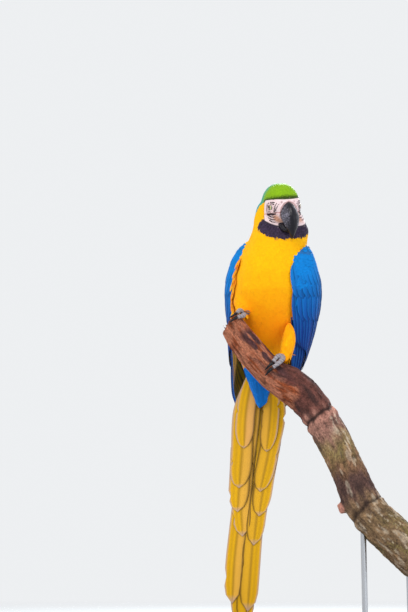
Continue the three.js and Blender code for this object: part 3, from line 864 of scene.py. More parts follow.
def tract_sizes(points, wing):
    """Length, half width and spacing of the feather at each point, in mm."""
    height, _, _, angle, _ = on_body(points)
    head = ramp(height, 720, 768)
    back = ramp(np.abs(angle), 100, 130) * (1 - head)
    low = ramp(-height, -700, -600)
    rump = ramp(-height, -500, -470)
    length = 10.5 + 5.5 * low
    length += (7.2 - length) * head
    length += 3.5 * back + 12 * rump
    crown = ramp(nape(points), -1, 2) * head
    length += (6.4 - length) * crown
    in_bib = ramp(bib(points), -1, 1)
    length += (5.6 - length) * in_bib
    rim = ramp(bare_face(points), -5, -0.5)
    length += (3.6 - length) * rim * (1 - in_bib * 0.4)
    on_top = ramp(height, 600, 700)
    length = np.where(wing > 0.5, 15.5 - 5.5 * on_top, length)
    width = length * np.where(wing > 0.5, 0.40, 0.30 + 0.03 * head)
    spacing = length * np.where(wing > 0.5, 0.34, 0.245 + 0.055 * head) * (1 - 0.14 * rump)
    return length, width, spacing


def lie_of_coat(points, normals, wing):
    height, _, _, angle, _ = on_body(points)
    middle, left, forward = body_directions(height)
    above = body_directions(height + 15)[0]
    down = unit(middle - above)
    away = unit(points - head_point(41, 0, 6))
    share = ramp(height, 716, 756)[:, None]
    flow = down * (1 - share) + (away + 0.25 * down) * share
    outward = np.sign(angle)[:, None] * left
    flow = np.where(wing[:, None] > 0.5, down - 0.42 * forward + 0.10 * outward, flow)
    return unit(flat_to(flow, normals))

# %% Random roots, thinned to an even spread
def throw_roots(mesh, number):
    """Random places on a mesh, spread evenly over its area, with the normals there."""
    mesh.calc_loop_triangles()
    corners = read(mesh.loop_triangles, "vertices", 3, int)
    points, normals = vertex_points(mesh), vertex_normals(mesh)
    a, b, c = (points[corners[:, k]] for k in range(3))
    area = np.linalg.norm(np.cross(b - a, c - a), axis=1)
    pick = np.searchsorted(np.cumsum(area) / area.sum(), rng.random(number))
    share = np.sqrt(rng.random(number))[:, None]
    along = rng.random(number)[:, None]
    weights = (1 - share, share * (1 - along), share * along)
    where = sum(w * points[corners[pick, k]] for k, w in enumerate(weights))
    facing = unit(sum(w * normals[corners[pick, k]] for k, w in enumerate(weights)))
    return where, facing


def points_tree(points):
    tree = KDTree(len(points))
    for i, point in enumerate(points):
        tree.insert(point, i)
    tree.balance()
    return tree


def spread_out(points, spacing):
    """Keeps each point only where no kept point is nearer than its spacing, in mm."""
    tree = points_tree(points)
    crowded = np.zeros(len(points), bool)
    kept = []
    for i, point in enumerate(points):
        if not crowded[i]:
            kept.append(i)
            for _, near, _ in tree.find_range(point, spacing[i] * MM):
                crowded[near] = True
    return np.array(kept)

# %% Feather roots on the skin
skin_tree = tree_on(skin_mesh, skin_points)
roots, facing = throw_roots(skin_mesh, ROOTS_THROWN)
wing = on_wing(roots)
length, width, spacing = tract_sizes(roots, wing)
kept = spread_out(roots, spacing)
open_air = []
for i in kept:
    start = Vector(roots[i]) + Vector(facing[i]) * 0.002
    low = roots[i][2] < LOW_TRUNK and not wing[i]
    clear = PRESSED_LOW if low else PRESSED_TOGETHER
    hit = skin_tree.ray_cast(start, Vector(facing[i]), clear)
    open_air.append(hit[0] is None)
kept = kept[np.array(open_air)]
kept = kept[bare_face(roots[kept]) < -0.2]
print("feather roots:", len(kept))

# %% [markdown]
# ## Laying the coat
# Each feather starts a little under the skin and follows it: its shaft steps along the
# surface in the direction of the lie, and its two edges are dropped onto the surface beside
# it. Its height grows evenly from root to tip, so every feather lies over the roots of those
# further down, as roof tiles do. All feathers of one tract are then written as one mesh from
# arrays, with a colour at each point and two maps: "vane" runs across and along each
# feather, and "OFBake" gives each a small patch at its root's place on the unrolled body.

# %% Follow the skin
STATIONS = np.array([0, 0.3, 0.65, 1.0])
PATCH = 0.0030
SHARP_ANGLE = 50
SHAFT_THICK = 0.22


def follow_skin(tree, roots, facing, flow, length, width):
    """Centre, half breadth, sag and normal of each feather at the stations along it."""
    count = len(roots)
    centre, breadth, sag, normal = (np.zeros((count, len(STATIONS), 3)) for _ in range(4))
    for i in range(count):
        here, up = Vector(roots[i]), Vector(facing[i])
        along = Vector(flow[i])
        for j in range(len(STATIONS)):
            if j:
                step = (STATIONS[j] - STATIONS[j - 1]) * length[i] * MM
                guess = here + along * step
                found, found_up, _, gap = tree.find_nearest(guess)
                if gap < 0.45 * step + 0.0015:
                    here, up = found, (found_up * 0.6 + up * 0.4).normalized()
                else:
                    here = guess
                along = (along - up * along.dot(up)).normalized()
            across = along.cross(up)
            half = width[i] * MM
            sides = []
            for sign in (-1, 1):
                guess = here + across * (half * sign)
                drop = (tree.find_nearest(guess)[0] - guess).dot(up)
                sides.append(guess + up * max(min(drop, 0.25 * half), -0.7 * half))
            centre[i, j], normal[i, j] = here, up
            breadth[i, j] = (sides[1] - sides[0]) / 2
            sag[i, j] = (sides[0] + sides[1]) / 2 - here
    return centre, breadth, sag, normal


def at_stations(values, along):
    """Values at the stations, read at any share along the feather."""
    j = np.clip(np.searchsorted(STATIONS, along, side="right") - 1, 0, len(STATIONS) - 2)
    t = ((along - STATIONS[j]) / (STATIONS[j + 1] - STATIONS[j]))[None, :, None]
    return values[:, j] * (1 - t) + values[:, j + 1] * t

# %% Many feathers in one mesh
def joined_mesh(name, points, faces, copies):
    """One mesh of many copies of the same faces, written straight from arrays."""
    per_copy = len(points) // copies
    corners = (faces[None] + (np.arange(copies) * per_copy)[:, None, None]).reshape(-1)
    size = faces.shape[1]
    mesh = bpy.data.meshes.new(name)
    mesh.vertices.add(len(points))
    mesh.vertices.foreach_set("co", points.ravel())
    mesh.loops.add(len(corners))
    mesh.loops.foreach_set("vertex_index", corners)
    mesh.polygons.add(len(corners) // size)
    mesh.polygons.foreach_set("loop_start", np.arange(0, len(corners), size))
    mesh.polygons.foreach_set("use_smooth", np.ones(len(corners) // size, bool))
    mesh.update(calc_edges=True)
    crease_rims(mesh)
    return mesh, corners


def crease_rims(mesh):
    """Marks the rim of every vane sharp, so that its two faces shade as flat as they are."""
    edge_of = read(mesh.loops, "edge_index", 1, int)[:, 0]
    sides = read(mesh.polygons, "loop_total", 1, int)[:, 0]
    normals = np.repeat(read(mesh.polygons, "normal", 3), sides, axis=0)
    total = [np.bincount(edge_of, normals[:, axis], len(mesh.edges)) for axis in range(3)]
    agree = np.linalg.norm(total, axis=0) / 2
    sharp = mesh.attributes.new("sharp_edge", "BOOLEAN", "EDGE")
    sharp.data.foreach_set("value", agree < math.cos(math.radians(SHARP_ANGLE / 2)))


def lay_map(mesh, name, values):
    """A map from one place for each face corner."""
    layer = mesh.uv_layers.new(name=name)
    layer.data.foreach_set("uv", values.ravel())


def plumage_piece(name, mesh, finish):
    """The object of a mesh of feathers, with its finish, riding on the root body."""
    finish.cover(mesh)
    piece = placed(name, mesh)
    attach(piece, "root")
    return piece

# %% Lay one tract
def unroll_body(points):
    """The body cut down its back and laid flat."""
    height, _, _, angle, _ = on_body(points)
    return np.stack([0.02 + 0.96 * (angle + 180) / 360, (height - 380) / 460], -1)


def unroll_head(points):
    """The head cut under the chin and laid flat round its long axis."""
    ahead, side, up = on_head(points)
    turn = np.degrees(np.arctan2(side, up))
    reach = np.degrees(np.arctan2(np.hypot(side, up), ahead))
    return np.stack([0.02 + 0.96 * (turn + 180) / 360, 0.02 + 0.96 * reach / 180], -1)


def lay_tract(name, feather, roots, facing, flow, length, width, depth, colour, unroll,
              finish, tip_light=0.04, tree=None, tone=0.03):
    """Lays one tract of feathers and returns its object. depth is how far root and tip stand
    over the skin in mm: one value for every root, and one or many for the tips."""
    vane, faces = feather
    count = len(roots)
    root_depth, tip_depth = depth[0], np.broadcast_to(depth[1], count)
    centre, breadth, sag, normal = follow_skin(
        tree or skin_tree, roots, facing, flow, length, width)
    along = np.clip(vane[:, 1], 0, 1)
    over = (vane[:, 1] - along)[None, :, None]
    middle = at_stations(centre, along)
    tip_way = unit(centre[:, -1] - centre[:, -2])[:, None]
    middle = middle + over * tip_way * (length * MM)[:, None, None]
    across = vane[:, 0][None, :, None]
    up = unit(at_stations(normal, along))
    height = root_depth + (tip_depth - root_depth)[:, None] * (along[None] ** 0.8)
    height = height + vane[:, 2][None] * SHAFT_THICK
    points = middle + at_stations(breadth, along) * across
    points = points + at_stations(sag, along) * across**2 + up * (height * MM)[..., None]
    mesh, corners = joined_mesh(name, points.reshape(-1, 3), faces, count)
    # Painted shade darkens each feather towards its covered root, and a painted highlight lightens
    # its tip.
    shade = 0.9 + 0.1 * ramp(along, 0.1, 0.7) + tip_light * ramp(along, 0.75, 1.0)
    own = colour * (1 + tone * rng.standard_normal((count, 1)))
    colours = np.clip(own[:, None] * shade[None, :, None], 0, 1).reshape(-1, 3)
    paint(mesh, "plumage", colours)
    spot = unroll(roots)[:, None] + (np.stack([vane[:, 0] * 0.5, along - 0.5], -1) * PATCH)[None]
    lay_map(mesh, "OFBake", spot.reshape(-1, 2)[corners])
    own_map = np.stack([vane[:, 0] * 0.5 + 0.5, along], -1)
    lay_map(mesh, "vane", np.tile(own_map, (count, 1))[corners])
    print(name, count, "feathers,", len(mesh.polygons), "triangles")
    return plumage_piece(name, mesh, finish)


# %% [markdown]
# ## The finish of plumage
# A vane is made of fine barbs that run out from the shaft at a slant. They are too fine to
# model on every feather, so the finish draws them from the vane map, as a bump and as a
# slight change of shade, with a soft sheen at glancing angles.

# %% Plumage finishes
def plumage_finish(name, barbs, roughness, sheen, slant=1.6, depth=0.0003):
    finish = Finish(name, Roughness=roughness, Sheen_Weight=sheen, Sheen_Roughness=0.5,
                    Specular_IOR_Level=0.12)
    split = finish.add("ShaderNodeUVMap", {"uv_map": "vane"})
    across = finish.add("ShaderNodeSeparateXYZ", {}, {"Vector": split}, out=0)
    along = finish.add("ShaderNodeSeparateXYZ", {}, {"Vector": split}, out=1)
    off_shaft = across - 0.5
    from_shaft = off_shaft.maths("ABSOLUTE", off_shaft)
    wander = finish.noise(finish.place(), 260, 2)
    lines = (along * barbs - from_shaft * (barbs * slant) + wander * 3.0) * (2 * math.pi)
    ridge = lines.maths("SINE", lines) * 0.5 + 0.5
    finish.painted("plumage", ridge * 0.12 + 0.90 + wander * 0.08)
    finish.relief(ridge, depth, 0.45)
    return finish


SOFT_PLUMAGE = plumage_finish("plumage_soft", 9, 0.75, 0.03)
BLUE_PLUMAGE = plumage_finish("plumage_blue", 11, 0.58, 0.03)
print("plumage finishes ready")

# %% One tract of the coat
ROOT_DEPTH = -0.3
TIP_SHARE = 0.55
HEAD_FROM = 748
BREAST_FROM = 610
VENT_COAT = 492
BACK_FROM = 490
BLADES_TO = 634
EDGE_GAP = 0.0016


def astray(way, up, amount):
    """Ways along the coat, each turned a little to one side or the other."""
    return unit(way + np.cross(way, up) * rng.normal(0, amount, (len(way), 1)))


def tract(name, mask, feather, finish, unroll=unroll_body, tip_light=0.03, tone=0.03):
    """Lays the feathers that a mask picks, from the lowest root to the highest."""
    chosen = kept[mask]
    chosen = chosen[np.argsort(roots[chosen][:, 2])]
    place, up = roots[chosen], facing[chosen]
    lengths = length[chosen] * rng.uniform(0.88, 1.12, len(chosen))
    widths = width[chosen] * rng.uniform(0.9, 1.1, len(chosen))
    way = astray(lie_of_coat(place, up, wing[chosen]), up, 0.09)
    depth = (ROOT_DEPTH, TIP_SHARE * coat_depth(place, wing[chosen]))
    colour = markings_and_shade(place, wing[chosen])
    piece = lay_tract(name, feather, place, up, way, lengths, widths, depth, colour, unroll,
                      finish, tip_light, tone=tone)

# %% The tracts of the head and body
height, _, _, angle, _ = on_body(roots[kept])
is_wing = wing[kept] > 0.5
is_head = (height > HEAD_FROM) & ~is_wing
is_blue = (nape(roots[kept]) > 0) | (height < VENT_COAT)
is_bib = bib(roots[kept]) > 0
tract("coat_crown", is_head & is_blue & ~is_bib, SMALL_FEATHER, BLUE_PLUMAGE,
      unroll_head)
# The bib's feather tips get a strong painted highlight, a purple-grey sheen.
tract("coat_bib", is_bib & ~is_wing, SMALL_FEATHER, BLUE_PLUMAGE, unroll_head,
      tip_light=0.9, tone=0.22)
tract("coat_cheeks", is_head & ~is_blue & ~is_bib, SMALL_FEATHER, SOFT_PLUMAGE,
      unroll_head)
front = ~is_head & ~is_blue & ~is_bib & ~is_wing
above = height > BREAST_FROM
tract("coat_breast", front & above, SOFT_FEATHER, SOFT_PLUMAGE)
tract("coat_belly", front & ~above, SOFT_FEATHER, SOFT_PLUMAGE)
tract("coat_back", ~is_head & is_blue & ~is_bib & ~is_wing & (height > BACK_FROM), FIRM_FEATHER,
      BLUE_PLUMAGE)

# %% The tracts of the shoulders
# Long blades cover the outer face and the rear of the folded wing, so small feathers stay off
# them there, and off the thin edges, where they would stand out.
outward = body_directions(height)[1] * np.sign(angle)[:, None]
covered = (height < BLADES_TO) & ((facing[kept] * outward).sum(1) > -0.35)
tips = roots[kept] + lie_of_coat(roots[kept], facing[kept], wing[kept]) * (
    length[kept, None] * MM)
past_edge = np.array([skin_tree.find_nearest(Vector(tip))[3] for tip in tips]) > EDGE_GAP
is_wing &= ~covered & ~past_edge
for title, on_side in (("left", angle > 0), ("right", angle <= 0)):
    tract("coat_wing_" + title, is_wing & on_side, FIRM_FEATHER, BLUE_PLUMAGE,
          tip_light=0.12)

# %% [markdown]
# ## The shape of a long feather
# Wing and tail feathers are firm blades that can be counted, so each gets its own shape. A
# flat slab is cut into a grid with the bisect tool; its outline is pinched to a rounded tip,
# a ridge along the middle makes the shaft, and a few short splits break the edge where barbs
# have come apart. The same slab then bends along whatever surface the feather lies on.

# %% Slabs and their outline
def slab(rows, columns):
    """A closed grid, across from -1 to 1, along from 0 to 1, with a top and an underside."""
    work = bmesh.new()
    bmesh.ops.create_cube(work, size=1, matrix=Matrix.Translation((0, 0.5, 0)))
    cuts = [((0, k / rows, 0), (0, 1, 0)) for k in range(1, rows)]
    cuts += [((k / columns - 0.5, 0, 0), (1, 0, 0)) for k in range(1, columns)]
    for place, way in cuts:
        cut_across(work, place, way)
    work.verts.index_update()
    shape = np.array([vert.co for vert in work.verts]) * (2, 1, 2)
    faces = np.array([[vert.index for vert in face.verts] for face in work.faces])
    work.free()
    return shape, faces


BLADE = slab(26, 8)
COVERT = slab(9, 6)
SHEET_COLUMNS = 8


def blade_outline(along, tip, point):
    """The share of the full breadth along a blade. tip is the length that rounds it off."""
    widening = 0.5 + 0.5 * np.sin(np.clip(along / 0.35, 0, 1) * np.pi / 2)
    left = np.clip((1 - along) / tip, 0, 1)
    return widening * np.maximum(1 - (1 - left) ** 2.2, 0.0) ** point

# %% Build a set of blades
def blades(name, shape, feathers, where, colour_of, finish, thickness=0.5):
    """Builds one mesh of long feathers. where(feather, along, across, height) gives points
    in metres, with across and height in mm. colour_of(feather, along, across, top) gives the
    colours. A feather has its half breadth, tip and number of splits, and its own places."""
    grid, faces = shape
    along, across, top = grid[:, 1], grid[:, 0], grid[:, 2]
    every_point, every_face, every_colour, every_map, every_bake = [], [], [], [], []
    on_top = np.repeat(top[faces].mean(1) > -0.5, faces.shape[1])
    for number, feather in enumerate(feathers):
        edge = blade_outline(along, feather["tip"], feather.get("point", 0.55))
        splits = rng.uniform(0.15, 0.95, feather["splits"])
        rows = np.round(along * (len(np.unique(along)) - 1))
        for at, sign in zip(splits, rng.choice([-1, 1], len(splits))):
            row = np.round(at * rows.max())
            notch = (rows == row) & (across * sign > 0.9)
            edge = np.where(notch, edge * rng.uniform(0.72, 0.88), edge)
        breadth = across * edge * feather["half"]
        ridge = 0.45 * ring(across, 0, 0.10) * (1 - 0.7 * along)
        height = top * thickness / 2 * (1 - 0.55 * np.abs(across)) + np.sign(top) * ridge
        points = where(feather, along, breadth, height)
        a, b, c = (points[faces[:, k]] - points[0] for k in (0, 1, 2))
        inside_out = (np.cross(a, b) * c).sum() < 0
        own_faces = faces[:, ::-1] if inside_out else faces
        corner = own_faces.ravel()
        every_point.append(points)
        every_face.append(own_faces + number * len(grid))
        every_colour.append(colour_of(feather, along[corner], across[corner], on_top))
        line, column = divmod(number, SHEET_COLUMNS)
        lines = 1 + (len(feathers) - 1) // SHEET_COLUMNS
        sheet_x = (across[corner] * 0.22 + 0.25 + 0.5 * on_top + column) / SHEET_COLUMNS * 0.98
        every_bake.append(np.stack([sheet_x, (along[corner] * 0.94 + 0.02 + line) / lines], -1))
        every_map.append(np.stack([across[corner] * 0.5 + 0.5, along[corner]], -1))
    mesh, _ = joined_mesh(name, np.concatenate(every_point), np.concatenate(every_face), 1)
    paint(mesh, "plumage", np.clip(np.concatenate(every_colour), 0, 1), "CORNER")
    for title, values in (("OFBake", every_bake), ("vane", every_map)):
        lay_map(mesh, title, np.concatenate(values))
    piece = plumage_piece(name, mesh, finish)
    print(name, len(feathers), "blades,", 2 * len(mesh.polygons), "triangles")
    return piece


# %% [markdown]
# ## The wings
# A folded wing is a stack of blades. The ten primaries make the tip, the secondaries lie over
# them, and rows of coverts, each shorter than the last, cover their roots like tiles up to
# the shoulder. A place on the wing is given by its level, from tip to wrist, and its chord,
# from the leading edge at 0 to the trailing edge at 1.

# %% The outside of a folded wing
WING_TIP = 418
WING_WRIST = 716
ROOT_DIP = 1.6
LEAD_TILT = 0.9
WING = through([
    # level, then side and ahead of the leading edge, the widest place, the rear and the
    # trailing edge, and the thickness
    [418, 40, -8, 44, -10, 42, -14, 34, -18, 2], [450, 54, -6, 59, -14, 48, -26, 24, -30, 5],
    [474, 60, 0, 68, -16, 56, -35, 12, -38, 8], [503, 62, 10, 75, -12, 62, -44, 6, -48, 11],
    [547, 62, 26, 85, -6, 70, -50, 4, -60, 15], [583, 60, 34, 91, -2, 76, -50, 5, -67, 18],
    [620, 58, 38, 95, 2, 80, -48, 6, -72, 21], [656, 56, 36, 92, 6, 78, -42, 14, -70, 22],
    [693, 53, 32, 80, 12, 70, -26, 36, -54, 19], [708, 54, 24, 70, 14, 64, -12, 48, -34, 14],
    [716, 57, 14, 63, 10, 60, -4, 55, -14, 8],
])
WINGS = {
    # low and high are the heights of tip and wrist; hold has the share of the sections' side,
    # and how far the widest place is drawn back, at each level
    "left": dict(side=1, low=424, high=708,
                 hold=through([[WING_TIP, 1, 0], [WING_WRIST, 1, 0]])),
    "right": dict(side=-1, low=426, high=722, hold=through([
        [WING_TIP, 1.12, 0], [474, 0.94, 0], [560, 0.88, 8], [620, 0.88, 12],
        [WING_WRIST, 0.9, 12]])),
}


def wing_place(wing_of, level, chord):
    """The point on the outside of a folded wing, in metres."""
    level, chord = np.broadcast_arrays(np.asarray(level, float), np.asarray(chord, float))
    section, hold = WING(level), wing_of["hold"](level)
    share = (level - WING_TIP) / (WING_WRIST - WING_TIP)
    height = wing_of["low"] + share * (wing_of["high"] - wing_of["low"])
    side = [wing_of["side"] * hold[..., 0] * section[..., k] for k in (0, 2, 4, 6)]
    ahead = [section[..., k] - (hold[..., 1] if k == 1 else 0) for k in (1, 3, 5, 7)]
    place = np.clip(chord, 0, 1) * 3
    first = np.clip(np.floor(place), 0, 2).astype(int)
    t = place - first

    def bend(four):
        four = np.stack([2 * four[0] - four[1], *four, 2 * four[3] - four[2]])
        p = [np.take_along_axis(four, (first + k)[None], 0)[0] for k in range(4)]
        slope_a, slope_b = (p[2] - p[0]) / 2, (p[3] - p[1]) / 2
        inside = ((2 * t**3 - 3 * t**2 + 1) * p[1] + (t**3 - 2 * t**2 + t) * slope_a
                  + (3 * t**2 - 2 * t**3) * p[2] + (t**3 - t**2) * slope_b)
        beyond = (chord - np.clip(chord, 0, 1)) * 3
        return inside + beyond * np.where(beyond > 0, slope_b, slope_a)

    return beside(height, bend(side), bend(ahead))


def wing_frame(wing_of, level, chord):
    here = wing_place(wing_of, level, chord)
    by_level = (wing_place(wing_of, level + 1, chord) - wing_place(wing_of, level - 1, chord)) / 2
    by_chord = wing_place(wing_of, level, chord + 0.01) - wing_place(wing_of, level, chord - 0.01)
    by_chord /= 0.02
    out = unit(np.cross(by_chord, by_level)) * wing_of["side"]
    return here, by_level / MM, by_chord / MM, out

# %% Lay a blade on the wing
def quill_line(feather, along):
    """Level and chord along a blade's quill."""
    (level_a, chord_a), (level_b, chord_b) = feather["start"], feather["end"]
    level = level_a + (level_b - level_a) * along
    return level, chord_a + (chord_b - chord_a) * along**feather.get("bend", 1.4)


def on_wing_outside(feather, along, across, height):
    wing_of = feather["wing"]
    (level_a, chord_a), (level_b, chord_b) = feather["start"], feather["end"]
    level, chord = quill_line(feather, along)
    _, by_level, by_chord, out = wing_frame(wing_of, level, chord)
    run = unit(by_level * (level_b - level_a) + by_chord * (chord_b - chord_a) * 1.2)
    aside = unit(np.cross(out, run)) * -wing_of["side"]
    aside *= np.sign((aside * by_chord).sum(-1, keepdims=True))
    step_level = (aside * by_level).sum(-1) / (by_level**2).sum(-1)
    step_chord = (aside * by_chord).sum(-1) / (by_chord**2).sum(-1)
    here, _, _, out = wing_frame(wing_of, level + across * step_level, chord + across * step_chord)
    lead = across / feather["half"] + 1
    sunk = feather["sunk"] + ROOT_DIP * (1 - ramp(along, 0.0, 0.75))
    under = LEAD_TILT * lead
    stack = feather.get("stack", 0) * ramp(level, WING_TIP, 500)
    # The rear of the wing is too thin to be drawn in, so the blades ride higher there.
    stack = stack - 3.4 * ramp(chord, 0.58, 0.76) * ramp(level, 520, 560)
    return here + out * ((height - sunk - under - stack) * MM)[..., None]

# %% The rows of wing feathers
def wing_row(wing_of, number, start, start_step, end, end_step, **shape):
    """A row of blades. Starts step on in chord alone, and ends step on in level and chord."""
    return [dict(wing=wing_of, start=(start[0], start[1] + start_step * k),
                 end=(end[0] + end_step[0] * k, end[1] + end_step[1] * k), **shape)
            for k in range(number)]


PRIMARY_TIPS = [
    # level and chord of each tip, from the leading edge back
    (452, 0.12), (437, 0.2), (426, 0.33), (419, 0.48), (421, 0.6), (429, 0.68), (440, 0.74),
    (453, 0.79), (467, 0.83), (482, 0.86),
]
UPPER_COVERTS = ((676, 616, 15, 9.5), (686, 640, 16, 8.5))


def wing_feathers(wing_of):
    """The blades and coverts of one wing: primaries, secondaries, then the covert rows."""
    flights = [dict(wing=wing_of, start=(606, 0.03 + 0.036 * k), end=tip, half=9.5, sunk=1.9,
                    stack=0.55 * (9 - k), tip=0.2, point=0.7, splits=3, kind="primary", bend=1.8)
               for k, tip in enumerate(PRIMARY_TIPS)]
    flights += wing_row(wing_of, 11, (642, 0.36), 0.058, (498, 0.44), (4.6, 0.053), half=12.5,
                        sunk=1.0, splits=4, tip=0.13, kind="secondary")
    coverts = wing_row(wing_of, 6, (628, 0.02), 0.045, (535, 0.05), (-3, 0.055), half=8,
                       sunk=0.8, splits=1, tip=0.25, kind="covert")
    coverts += wing_row(wing_of, 14, (664, 0.08), 0.066, (574, 0.13), (2, 0.062), half=11,
                        sunk=0.3, splits=2, tip=0.25, kind="covert")
    for row, (high, low, number, half) in enumerate(UPPER_COVERTS):
        for k in range(number):
            share = (k + 0.5 * row) / number
            end = (low + 3 * math.sin(5 * share), 0.05 + 0.93 * share)
            coverts.append(dict(wing=wing_of, start=(high, share), end=end, half=half,
                                sunk=-0.2 - 0.3 * row, tip=0.35, splits=1, kind="covert"))
    for feather in flights + coverts:
        level, chord = feather["end"]
        feather["end"] = (level + rng.uniform(-2, 2), chord)
        feather["tone"] = 1 + 0.05 * rng.standard_normal()
    return flights, coverts

# %% Colours of the wing, and both wings
UNDER_OLIVE = srgb(176, 128, 14)
UNDER_DUSKY = srgb(74, 50, 36)


def wing_colours(feather, along, across, top):
    points = on_wing_outside(feather, along, across * 0, along * 0)
    facing_out = wing_frame(feather["wing"], *quill_line(feather, along))[3]
    height = points[:, 2] / MM
    # Down the wing the blue deepens, partly the flight feathers' own colour and partly painted
    # shade. The lowest part is painted darker still, as shade.
    tone = ramp(-height, -700, -540)
    blue = blend(WING_AZURE, WING_DEEP, tone)
    blue = blue * (1 - 0.35 * ramp(-height, -560, -480))[:, None]
    lead = ramp(-across, 0.55, 0.95)
    blue = blend(blue, WING_AZURE, 0.65 * lead * (1 - 0.4 * tone))
    inner = ramp(across, 0.1, 0.9)
    blue = blue * (1 - 0.6 * inner)[:, None]
    shaft = ring(across, 0, 0.07) * (0.55 if feather["kind"] != "covert" else 0.3)
    blue = blue * (1 - shaft)[:, None] * feather["tone"]
    under = blend(UNDER_OLIVE, UNDER_DUSKY, np.maximum(ramp(np.abs(across), 0.7, 0.95),
                                                       0.85 * ring(across, 0, 0.1)))
    if feather["kind"] == "primary" and feather["wing"]["side"] < 0:
        # The front edge of the far wing is rolled, so the undersides of its quills show there.
        rolled = ramp(-facing_out[:, 1], 0.2, 0.45) * ramp(-height, -575, -545)
        blue = blend(blue, under, rolled)
    return np.where(top[:, None], blue, under)


FLIGHT_PLUMAGE = plumage_finish("plumage_flight", 70, 0.46, 0.05, slant=0.35, depth=0.0002)
COVERT_PLUMAGE = plumage_finish("plumage_covert", 34, 0.5, 0.06, slant=0.7, depth=0.0002)
for title, wing_of in WINGS.items():
    flights, coverts = wing_feathers(wing_of)
    piece = blades("flights_" + title, BLADE, flights, on_wing_outside, wing_colours,
                   FLIGHT_PLUMAGE)
    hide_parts("primaries_" + title)
    blades("coverts_" + title, COVERT, coverts, on_wing_outside, wing_colours,
           COVERT_PLUMAGE)

# %% [markdown]
# ## Shoulder feathers over the inner edge of each wing
# Folded wings stand a little off the back. On the real bird a row of long shoulder feathers,
# the scapulars, starts beside the spine and lies across that slot on to the wing, so that
# little daylight shows between. Each blade is bent from its root on the back to its tip on
# the wing.

# %% Bend a blade across the slot
BOW = 0.006
OVER_WING = 0.0044


def across_slot(feather, along, across, height):
    """From a root on the trunk's back to a tip on a wing, bowed to the rear, in metres."""
    root, tip = feather["root_at"], feather["tip_at"]
    rear = -body_directions(np.array([feather["level"]]))[2][0]
    bow = (root + tip) / 2 + rear * BOW
    t = along[:, None]
    middle = root * (1 - t) ** 2 + 2 * bow * t * (1 - t) + tip * t**2
    run = unit(tip - root)
    out = unit(rear - run * (rear @ run))
    return middle + (np.cross(run, out) * across[:, None] + out * height[:, None]) * MM


def scapular_colours(feather, along, across, _):
    blue = blend(BACK_BLUE, WING_AZURE, 0.35 * along) * feather["tone"]
    return blue * (1 - 0.25 * ring(across, 0, 0.08) - 0.2 * ramp(along, 0.3, 0.0))[:, None]

# %% Eight scapulars for each wing
scapulars = []
for wing_of in WINGS.values():
    for k in range(8):
        level, turn = 700 - 10.0 * k, math.radians(44 - 4.6 * k)
        section = TRUNK(level)
        root_at = beside(level, wing_of["side"] * section[2] * math.sin(turn),
                         -(section[4] + 0.5) * math.cos(turn))
        rest, _, _, out = wing_frame(wing_of, 664 - 13.5 * k + rng.uniform(-5, 5),
                                     0.90 + 0.006 * k + rng.uniform(-0.05, 0.03))
        scapulars.append(dict(root_at=root_at, tip_at=rest + out * OVER_WING, level=level,
                              half=10, tip=0.35, splits=1, tone=rng.normal(1, 0.04)))
blades("scapulars", COVERT, scapulars, across_slot, scapular_colours, COVERT_PLUMAGE)

# %% [markdown]
# ## The tail
# Twelve long blades hang almost straight down. Seen from the front their undersides show,
# golden with dusky edges, the outermost and shortest pair in front; from behind they are
# blue. Each side closes to its own column, a little apart from the other at the tips.

# %% Places and colours of the tail
TAIL_FEATHERS = [
    # side, root from the middle, places on the way to the tip, half width, layer to the front
    (-1, 17, [(-153, 420), (-157, 355)], 17.5, 6),
    (-1, 15, [(-157, 420), (-161, 343), (-166, 283)], 20, 4),
    (-1, 12, [(-158, 400), (-165, 298), (-169, 240)], 19, 2),
    (-1, 9, [(-161.5, 262), (-160, 196)], 17, 0),
    (-1, 6, [(-173, 170), (-179, 76)], 16, -2),
    (-1, 3, [(-160, 170), (-167, 41)], 16, -4),
    (1, 17, [(-108, 420), (-116, 348)], 16, 6),
    (1, 15, [(-98, 420), (-113, 343), (-128, 276)], 18, 4),
    (1, 12, [(-103, 400), (-121, 289), (-130, 232)], 17.5, 2),
    (1, 9, [(-108, 380), (-132, 244), (-140, 180)], 17, 0),
    (1, 6, [(-144, 154), (-151, 62)], 17, -2),
    (1, 3, [(-150, 170), (-157, 33)], 16, -4),
]
TAIL_ROOT = 492
TAIL_MIDDLE = -124
TAIL_YAW = 0.16
ROUNDED_TIP = 42
TAIL_GOLD = srgb(240, 182, 6)
TAIL_OLIVE = srgb(196, 148, 22)
TAIL_TAN = srgb(222, 166, 96)
TAIL_DUSKY = srgb(176, 156, 160)
TAIL_SHADOW = srgb(98, 70, 44)

# %% The twelve tail feathers
def tail_feather(side, root, way, half, layer):
    places = [(TAIL_MIDDLE + side * root, TAIL_ROOT), *way]
    line = through([[z, x] for x, z in reversed(places)])
    length = TAIL_ROOT - way[-1][1]
    return dict(side=side, line=line, low=way[-1][1], half=half, layer=layer,
                tip=ROUNDED_TIP / length, splits=5, tone=rng.normal(1, 0.03), point=0.6)


def on_tail(feather, along, across, height):
    level = TAIL_ROOT + (feather["low"] - TAIL_ROOT) * along
    x = feather["line"](level)[:, 0] + across
    axis = TAIL_AXIS(level)
    bow = 1.4 * (across / feather["half"]) ** 2 * (1 - 0.4 * along)
    y = axis[:, 1] - feather["layer"] - TAIL_YAW * (x - axis[:, 0]) - bow + height
    return np.stack([x, y, level], -1) * MM


